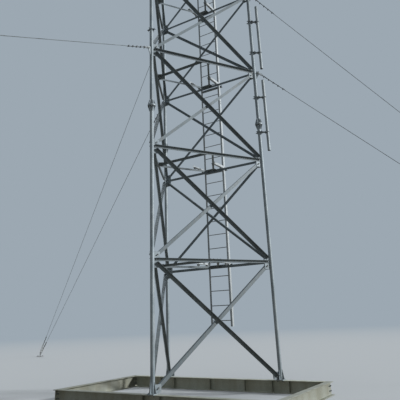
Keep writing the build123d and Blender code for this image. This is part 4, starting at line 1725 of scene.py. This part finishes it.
@dataclass
class MountingPoles:
    """Two antenna poles beside the right leg, their clamps, and a spare clamp."""

    plan: TowerPlan
    radius: float = 0.03805
    wall: float = 0.004
    offset: float = 0.21
    length: float = 2.0
    feet: tuple[float, float] = (5.52, 7.875)
    inset: float = 0.502
    seat_gap: float = 0.0003
    plate: float = 0.01
    half_height: float = 0.028
    half_width: float = 0.07495
    rod_place: float = 0.05795
    rod_radius: float = 0.008
    rod_tail: float = 0.036
    tube_half: float = 0.018
    u_radius: float = 0.006
    spare_height: float = 8.31

    def clamp(self, work: Steelwork, place: Place) -> None:
        """Adds two plates drawn together round a leg by two threaded rods.

        Args:
            work: The piece.
            place: Level plane on the leg's axis, its x along the rods.
        """
        seat = self.plan.leg_radius + self.seat_gap
        end = seat + self.plate
        for side in (-1, 1):
            facing = Place(place.origin, place.y * side, UP)
            outline = rounded_box(self.half_width, self.half_height, 0.006)
            work.plate(outline, facing, seat, end)
            for hand in (-1, 1):
                nut(work, facing.moved(hand * self.rod_place, 0.0, end), self.rod_radius * 2)
        reach = end + self.rod_tail
        for hand in (-1, 1):
            along = Place(place.at(0.0, hand * self.rod_place), place.y, UP)
            thread(work, along, self.rod_radius, -reach, reach)

    def bracket(self, work: Steelwork, height: float) -> None:
        """Adds a clamp with its tube, pole plate and U-bolt.

        Args:
            work: The piece.
            height: Height of its middle.
        """
        place = self.plan.leg_place(Leg.RIGHT, height)
        work.next_bar(0.06)
        self.clamp(work, place)
        facing = Place(place.origin, place.y, UP)
        outer = self.offset - self.radius - self.seat_gap
        inner = outer - self.plate
        start = self.plan.leg_radius + self.seat_gap + self.plate
        work.plate(rounded_box(self.half_width, self.half_height, 0.006), facing, inner, outer)
        tube = rounded_box(self.tube_half, self.tube_half, 0.004)
        bore = rounded_box(self.tube_half - 0.003, self.tube_half - 0.003, 0.002)
        work.plate(tube, facing, start, inner, [bore], bevel=0.0)
        for depth in (start + 0.002, inner - 0.002):
            half = self.tube_half + 0.001
            corners = [facing.at(a, b, depth) for a, b in rounded_box(half, half, 0.004)]
            work.rod(corners, 0.004, 6, loop=True)
        bend = self.radius + self.seat_gap + self.u_radius
        tail = inner - self.rod_tail
        line = [place.at(tail, bend)]
        line += [place.at(self.offset + a, b) for a, b in arc((0.0, 0.0), bend, 90, -90, 14)]
        line.append(place.at(tail, -bend))
        work.rod(line, self.u_radius, 12)
        for hand in (-1, 1):
            back = Place(place.origin, place.y * -1, UP)
            nut(work, back.moved(-hand * bend, 0.0, -inner), self.u_radius * 2)

    def build(self) -> None:
        """Makes the poles, their caps, the brackets and the spare clamp."""
        poles, caps, brackets, spare = (Steelwork(70 + number) for number in range(4))
        for foot in self.feet:
            place = self.plan.leg_place(Leg.RIGHT, foot).moved(self.offset, 0.0)
            poles.next_bar(0.04)
            poles.pipe(place, self.radius, self.radius - self.wall, 0.0, self.length, 40)
            for end, sign in ((0.0, -1), (self.length, 1)):
                rim, bore = self.radius, self.radius - self.wall - self.seat_gap
                profile = [(0.0, 0.006), (rim - 0.004, 0.006), (rim - 0.001, 0.0045), (rim, 0.002)]
                profile += [(rim, 0.0), (bore, 0.0), (bore, -0.02), (bore - 0.003, -0.02)]
                profile += [(bore - 0.003, 0.003), (0.0, 0.003)]
                caps.turned([(radius, end + sign * rise) for radius, rise in profile], place, 40)
            for height in (foot + self.inset, foot + self.length - self.inset):
                self.bracket(brackets, height)
        axis = self.plan.leg_place(Leg.FRONT, self.spare_height).origin
        self.clamp(spare, Place(axis, heading(60), heading(150)))
        build_piece("antenna_poles", poles, Finish.POLE, ["mounting_poles"])
        build_piece("antenna_pole_caps", caps, Finish.CAP, ["pole_caps"])
        build_piece("antenna_pole_brackets", brackets, Finish.BAR, ["pole_brackets"])
        build_piece("spare_leg_clamp", spare, Finish.BAR, ["front_leg_clamp"])


@dataclass
class GuyRopes:
    """Guy ropes from end to end: shackle, thimble, rope, grips and turnbuckle."""

    plan: TowerPlan
    anchors: tuple[float, float, float] = (17.6, 9.3, 16.6)
    anchor_hole: float = 0.1
    anchor_spacing: float = 0.12
    bolt_circle: float = 0.1555
    rope: LaidRope = field(default_factory=LaidRope)
    tail_offset: float = 0.0146
    eye_radius: float = 0.025
    shackle_reach: float = 0.08
    grip_places: tuple[float, ...] = (0.195, 0.345, 0.5, 0.655, 0.81)
    tail_swing: tuple[tuple[float, float], ...] = (
        (0.88, 90), (0.6, 90), (0.33, 90), (0.3, 78), (0.27, 45), (0.24, 12), (0.21, 0)
    )
    pin_radius: float = 0.011
    body_length: float = 0.42
    body_from_foot: float = 0.58
    screw_radius: float = 0.01
    screw_showing: float = 0.09
    cheek: float = 0.008
    jaw_half: float = 0.023
    foot_jaw: float = 0.07
    grips: RopeGrips = field(default_factory=RopeGrips)

    def pins(self, leg: Leg) -> tuple[list[Vector], list[Vector], Vector, Vector]:
        """Finds a leg's pin points.

        Args:
            leg: The leg.

        Returns:
            The upper ends, the lower ends, the anchor's foot and the mean pull of the guys.
        """
        out = heading(leg.value)
        hole = out * (self.plan.reach + self.plan.lug_hole)
        tops = [hole + UP * self.plan.level(level) for level in self.plan.guy_levels]
        foot = out * (self.plan.reach + self.anchors[LEGS.index(leg)])
        low = foot + UP * self.anchor_hole
        pull = ((tops[0] + tops[1]) / 2 - low).normalized()
        across = pull.cross(out.cross(UP))
        return tops, [low, low + across * self.anchor_spacing], foot, pull

    def eye(self, centre: float, toward: int) -> Line:
        """Line of the rope round a thimble, from its tail to its standing part.

        Args:
            centre: Where the middle of the eye is along the guy.
            toward: +1 where the rope runs on along the guy, and -1 at the other end.

        Returns:
            The points, along the guy, off to the tail's side and along the pin.
        """
        middle = self.tail_offset / 2
        loop = arc((0.0, middle), self.eye_radius, 80, 280, 18)
        legs = [(0.108, self.tail_offset), (0.082, self.tail_offset + 0.0008)]
        back = [(0.082, -0.0008), (0.108, 0.0)]
        return [(centre + toward * a, b, 0.0) for a, b in [*legs, *loop, *back]]

    def tail(self, start: float, toward: int) -> Line:
        """Line of the rope's tail, which swings a quarter turn round the standing part.

        Args:
            start: Where the guy's own end is.
            toward: +1 where the rope runs on along the guy, and -1 at the other end.

        Returns:
            The points from the tail's end to where it leaves the eye.
        """
        off = self.tail_offset
        steps = [(start + toward * a, radians(turn)) for a, turn in self.tail_swing]
        return [(a, off * cos(turn), off * sin(turn)) for a, turn in steps]

    def thimble(self, work: Steelwork, place: Place, centre: float, toward: int) -> None:
        """Adds the grooved thimble inside an eye.

        Args:
            work: The piece.
            place: Plane on the upper pin, its x along the guy, its y to the tail's side.
            centre: Where the middle of the eye is along the guy.
            toward: +1 or -1, as for the eye.
        """
        middle = self.tail_offset / 2
        loop = arc((0.0, middle), self.eye_radius - 0.007, 78, 282, 16)
        nose = [(0.037, 0.0095), (0.058, 0.0015)]
        line = [*loop, *((a, middle - b) for a, b in nose)]
        line += [(a, middle + b) for a, b in reversed(nose)]
        groove = [(0, 10.5), (6.5, 11.5), (6.5, 9.2), (1.2, 6.2)]
        section = [(-3, -7), (-3, 7), *groove, (0, 0), *((a, -b) for a, b in reversed(groove))]
        centroid = place.at(centre + toward * 0.02, middle)
        points = [place.at(centre + toward * a, b) for a, b in line]
        corners: list[Vector] = []
        count = len(points)
        for number, point in enumerate(points):
            run = (points[(number + 1) % count] - points[number - 1]).normalized()
            outward = run.cross(place.z)
            if outward.dot(point - centroid) < 0:
                outward = -outward
            corners += [point + outward * (a / 1000) + place.z * (b / 1000) for a, b in section]
        work.swept(corners, len(section), loop=True)

    def pin(self, work: Steelwork, place: Place, reach: float, radius: float) -> None:
        """Adds a headed pin with its split pin, along a plane's z.

        Args:
            work: The piece.
            place: The plane.
            reach: Half the width that it holds together.
            radius: Its radius.
        """
        head, hole, tip = -reach - 0.008, reach + 0.005, reach + 0.012
        profile = [(0.0, head), (radius * 1.35, head), (radius * 1.5, -reach - 0.006)]
        profile += [(radius * 1.5, -reach), (radius, -reach), (radius, reach + 0.01)]
        work.turned([*profile, (radius * 0.85, tip), (0.0, tip)], place, 20)
        work.rod([place.at(-radius * 1.35, 0.0, hole), place.at(radius * 1.6, 0.0, hole)], 0.0018, 6)
        ring = [place.at(-radius * 1.35 - 0.004 + a, b, hole) for a, b in circle(0.0045, 8)]
        work.rod(ring, 0.0014, 5, loop=True)

    def shackle(self, work: Steelwork, place: Place) -> None:
        """Adds the bow shackle on the leg's lug.

        Args:
            work: The piece.
            place: Plane on the pin, its x along the guy and its z along the pin.
        """
        rod = 0.0095
        leg = 0.0205
        for side in (-1, 1):
            eye = place.moved(0.0, 0.0, side * leg)
            ring = [(self.pin_radius, -rod), (0.0215, -rod), (0.0215, rod), (self.pin_radius, rod)]
            work.turned(ring, eye, 22, ring=True)
        bow = 0.0275
        crown = self.shackle_reach - bow
        line = [place.at(0.014, 0.0, -leg), place.at(0.03, 0.0, -leg - 0.002)]
        line += [place.at(crown + a, 0.0, b) for a, b in arc((0.0, 0.0), bow, -110, 110, 18)]
        line += [place.at(0.03, 0.0, leg + 0.002), place.at(0.014, 0.0, leg)]
        work.rod(line, rod, 12)
        self.pin(work, place, 0.031, self.pin_radius)

    def jaw(self, work: Steelwork, place: Place, base: float, half_gap: float) -> None:
        """Adds a forked end: two cheeks, the block that joins them, and the pin.

        Args:
            work: The piece.
            place: Plane on the pin, its x towards the screw and its z along the pin.
            base: Distance from the pin to the end of the block.
            half_gap: Half the clear width between the cheeks.
        """
        half = self.jaw_half
        outline = [*arc((0.0, 0.0), half, 90, 270, 10), (base, -half * 0.8), (base, half * 0.8)]
        for side in (-1, 1):
            low, high = sorted((side * half_gap, side * (half_gap + self.cheek)))
            work.plate(outline, place, low, high)
        work.box(place, (base - 0.014, -half * 0.8, -half_gap), (base, half * 0.8, half_gap))
        self.pin(work, place, half_gap + self.cheek, self.pin_radius)

    def turnbuckle(self, work: Steelwork, place: Place, start: float, length: float) -> None:
        """Adds the turnbuckle with its two screws.

        Args:
            work: The piece.
            place: Plane on the upper pin, its x along the guy and its y to the tail's side.
            start: Where its body starts along the guy.
            length: Distance between the guy's two pins.
        """
        axis = Place(place.origin, place.y, place.z)
        boss, edge, bore = 0.021, 0.004, self.screw_radius * 0.95
        end = start + self.body_length
        for low, high in ((start, start + 0.042), (end - 0.042, end)):
            profile = [(bore, low), (boss - edge, low), (boss, low + edge)]
            profile += [(boss, high - edge), (boss - edge, high), (bore, high)]
            work.turned(profile, axis, 28, ring=True)
        for side in (-1, 1):
            bar = axis.moved(0.0, side * 0.0245)
            work.prism(rounded_box(0.007, 0.007, 0.003), bar, start + 0.002, end - 0.002)
        thread(work, axis, self.screw_radius, start - self.screw_showing, start + 0.1)
        thread(work, axis, self.screw_radius, end - 0.1, length - self.foot_jaw + 0.002)
        for low in (start - 0.015, end + 0.001):
            work.plate(circle(0.0165, 6), axis, low, low + 0.014, bevel=0.0012)

    def guy(self, leg: Leg, number: int, top: Vector, foot: Vector) -> None:
        """Makes one guy, as a piece of rope and a piece of fittings.

        Args:
            leg: The leg that it holds.
            number: 0 for the lower guy and 1 for the upper one.
            top: Its upper pin.
            foot: Its lower pin.
        """
        length = (foot - top).length
        run = (foot - top).normalized()
        sideways = heading(leg.value).cross(UP)
        tail_side = sideways.cross(run)
        place = Place(top, run, tail_side)
        upper_eye = self.shackle_reach + 0.0055
        body = length - self.body_from_foot
        upper_jaw = body - self.screw_showing - 0.06
        lower_eye = upper_jaw - 0.004
        near = [*self.tail(0.0, 1), *self.eye(upper_eye, 1)]
        far = [*self.tail(upper_jaw + 0.085, -1), *self.eye(lower_eye, -1)]
        standing = [(along, 0.0, 0.0) for along in (1.0, length / 2, upper_jaw - 1.0)]
        line = [*near, *standing, *reversed(far)]
        name = f"{leg.name.lower()}_{'upper' if number else 'lower'}_guy"
        rope = self.rope.along([place.at(*point) for point in line], f"{name}_rope")
        hand_over(rope, [name])
        work = Steelwork(leg.value + 10 + number)
        self.shackle(work, place)
        self.thimble(work, place, upper_eye, 1)
        self.thimble(work, place, lower_eye, -1)
        self.jaw(work, place.moved(upper_jaw, 0.0), 0.062, 0.0125)
        self.turnbuckle(work, place, body, length)
        self.jaw(work, Place(foot, -run, -tail_side), self.foot_jaw, 0.0083)
        build_piece(f"{name}_fittings", work, Finish.FITTING, [name])
        for order, grip in enumerate(self.grip_places):
            side = place.z if order else tail_side
            self.grips.add(place.at(grip, 0.0), run, side)
            self.grips.add(place.at(upper_jaw + 0.085 - grip, 0.0), run, side)
        log.info("%s: %.2f m from pin to pin", name, length)

    def anchor(self, leg: Leg, foot: Vector, holes: Sequence[Vector], pull: Vector) -> None:
        """Makes the anchor that a leg's two guys are pinned to.

        Args:
            leg: The leg.
            foot: Middle of its base, on the floor.
            holes: The two lower pins.
            pull: Direction of the guys' mean pull.
        """
        work = Steelwork(leg.value + 30)
        out = heading(leg.value)
        base = Place(foot, out, UP.cross(out))
        spots = arc((0.0, 0.0), self.bolt_circle, 45, 405, 4)[:-1]
        bores = [circle(0.011, 16, spot) for spot in spots]
        work.plate(rounded_box(0.16, 0.16, 0.004), base, 0.0, 0.02, bores)
        upright = Place(foot, out, UP)
        across = pull.cross(upright.z)

        def spot_of(point: Vector) -> tuple[float, float]:
            """Offsets of a point on the lug's plane."""
            return (point - foot).dot(out), (point - foot).z

        near, far, margin = pull * 0.036, pull * -0.045, across * 0.045
        corners = [holes[0] + near - margin, holes[1] + near + margin, holes[1] + far + margin]
        outline = [(0.11, 0.019), (-0.11, 0.019), *(spot_of(corner) for corner in corners)]
        bores = [circle(0.013, 20, spot_of(hole)) for hole in holes]
        work.plate(outline, upright, -0.008, 0.008, bores)
        work.seams(upright, 0.009, [(-0.108, 0.021, 0.108, 0.021)], 0.006)
        for a, b in spots:
            stud = base.moved(a, b)
            nut(work, stud.moved(0.0, 0.0, 0.02), 0.02)
            thread(work, stud, 0.0098, 0.001, 0.062)
        node = f"{leg.name.lower()}_anchor"
        build_piece(f"{node}_plate", work, Finish.ANCHOR, [node])

    def build(self) -> None:
        """Makes the six guys, their grips and the three anchors."""
        for leg in LEGS:
            tops, feet, foot, pull = self.pins(leg)
            for number in (0, 1):
                self.guy(leg, number, tops[number], feet[number])
            self.anchor(leg, foot, feet, pull)
        self.grips.build("rope_grips")


@dataclass(frozen=True)
class Studio:
    """Camera at the photograph's viewing angle, soft light, pale floor and backdrop."""

    place: tuple[float, float, float] = (6.226, -9.825, 1.555)
    yaw: float = 31.645
    pitch: float = 20.431
    roll: float = -2.267
    lens: float = 43.15
    sensor: float = 36.0
    shift: tuple[float, float] = (0.004, -0.149)
    key: tuple[float, float, float, float] = (23.0, 20.0, 6.0, 3.6)
    overhead: tuple[float, float, float, float] = (22.0, 84.0, 50.0, 1.4)
    fill: float = 0.19
    skylight: str = "#F4F7FA"
    backdrop: str = "#9CA8B2"
    floor_half: float = 400.0

    def camera(self) -> None:
        """Makes the camera."""
        yaw, pitch, roll = (radians(a) for a in (self.yaw, self.pitch, self.roll))
        forward = Vector((-sin(yaw), cos(yaw), 0.0))
        right = Vector((cos(yaw), sin(yaw), 0.0))
        look = forward * cos(pitch) + UP * sin(pitch)
        above = UP * cos(pitch) - forward * sin(pitch)
        x = right * cos(roll) + above * sin(roll)
        y = above * cos(roll) - right * sin(roll)
        data = bpy.data.cameras.new("photo_view")
        data.sensor_width = self.sensor
        data.lens = self.lens
        data.shift_x, data.shift_y = self.shift
        data.clip_end = 500.0
        matrix = Matrix((x, y, -look)).transposed().to_4x4()
        matrix.translation = Vector(self.place)
        camera = put_in_scene("photo_view", data)
        camera.matrix_world = matrix
        bpy.context.scene.camera = camera

    def softbox(self, name: str, setting: tuple[float, float, float, float]) -> None:
        """Makes a broad soft lamp.

        Args:
            name: Name of the lamp.
            setting: Its heading and height in degrees, its spread in degrees and its strength.
        """
        turn, height, spread, strength = setting
        data = bpy.data.lights.new(name, "SUN")
        data.energy = strength
        data.angle = radians(spread)
        height = radians(height)
        source = heading(turn) * cos(height) + UP * sin(height)
        turned = source.to_track_quat("Z", "Y").to_matrix().to_4x4()
        put_in_scene(name, data).matrix_world = turned

    def world(self) -> None:
        """Makes the fill light, with the pale backdrop for camera, mirror and glass rays."""
        world = bpy.data.worlds.new("pale_backdrop")
        world.use_nodes = True
        tree = world.node_tree
        tree.nodes.clear()
        path = add_node(tree, "ShaderNodeLightPath").outputs
        seen = path["Is Camera Ray"]
        for ray in ("Is Glossy Ray", "Is Transmission Ray"):
            rays = {0: seen, 1: path[ray]}
            seen = add_node(tree, "ShaderNodeMath", rays, operation="MAXIMUM").outputs[0]
        parts = {0: seen}
        for number, colour, strength in ((1, self.skylight, self.fill), (2, self.backdrop, 1.0)):
            glow = {"Color": linear(colour), "Strength": strength}
            parts[number] = add_node(tree, "ShaderNodeBackground", glow).outputs[0]
        mixed = add_node(tree, "ShaderNodeMixShader", parts)
        add_node(tree, "ShaderNodeOutputWorld", {0: mixed.outputs[0]})
        bpy.context.scene.world = world

    def floor(self) -> None:
        """Makes the floor, large enough to have no edge in any view."""
        mesh = bpy.data.meshes.new("studio_floor")
        half = self.floor_half
        corners = [(a * half, b * half, -0.001) for a, b in ((-1, -1), (1, -1), (1, 1), (-1, 1))]
        mesh.from_pydata(corners, [], [(0, 1, 2, 3)])
        mesh.materials.append(PaleFloor(backdrop=self.backdrop).material())
        floor = put_in_scene("studio_floor", mesh)

    def build(self) -> None:
        """Sets up the whole studio."""
        bpy.context.scene.view_settings.view_transform = "Standard"
        self.camera()
        self.softbox("soft_key", self.key)
        self.softbox("overhead_softbox", self.overhead)
        self.world()
        self.floor()


def main() -> None:
    """Builds the tower piece by piece."""
    logging.basicConfig(level=logging.INFO, format="%(name)s %(message)s")
    plan = TowerPlan()
    Studio().build()
    for assembly in (TowerLegs, FaceBracing, PlanBracing, Ladder, BaseFrame, MountingPoles, GuyRopes):
        assembly(plan).build()


if __name__ == "__main__":
    main()
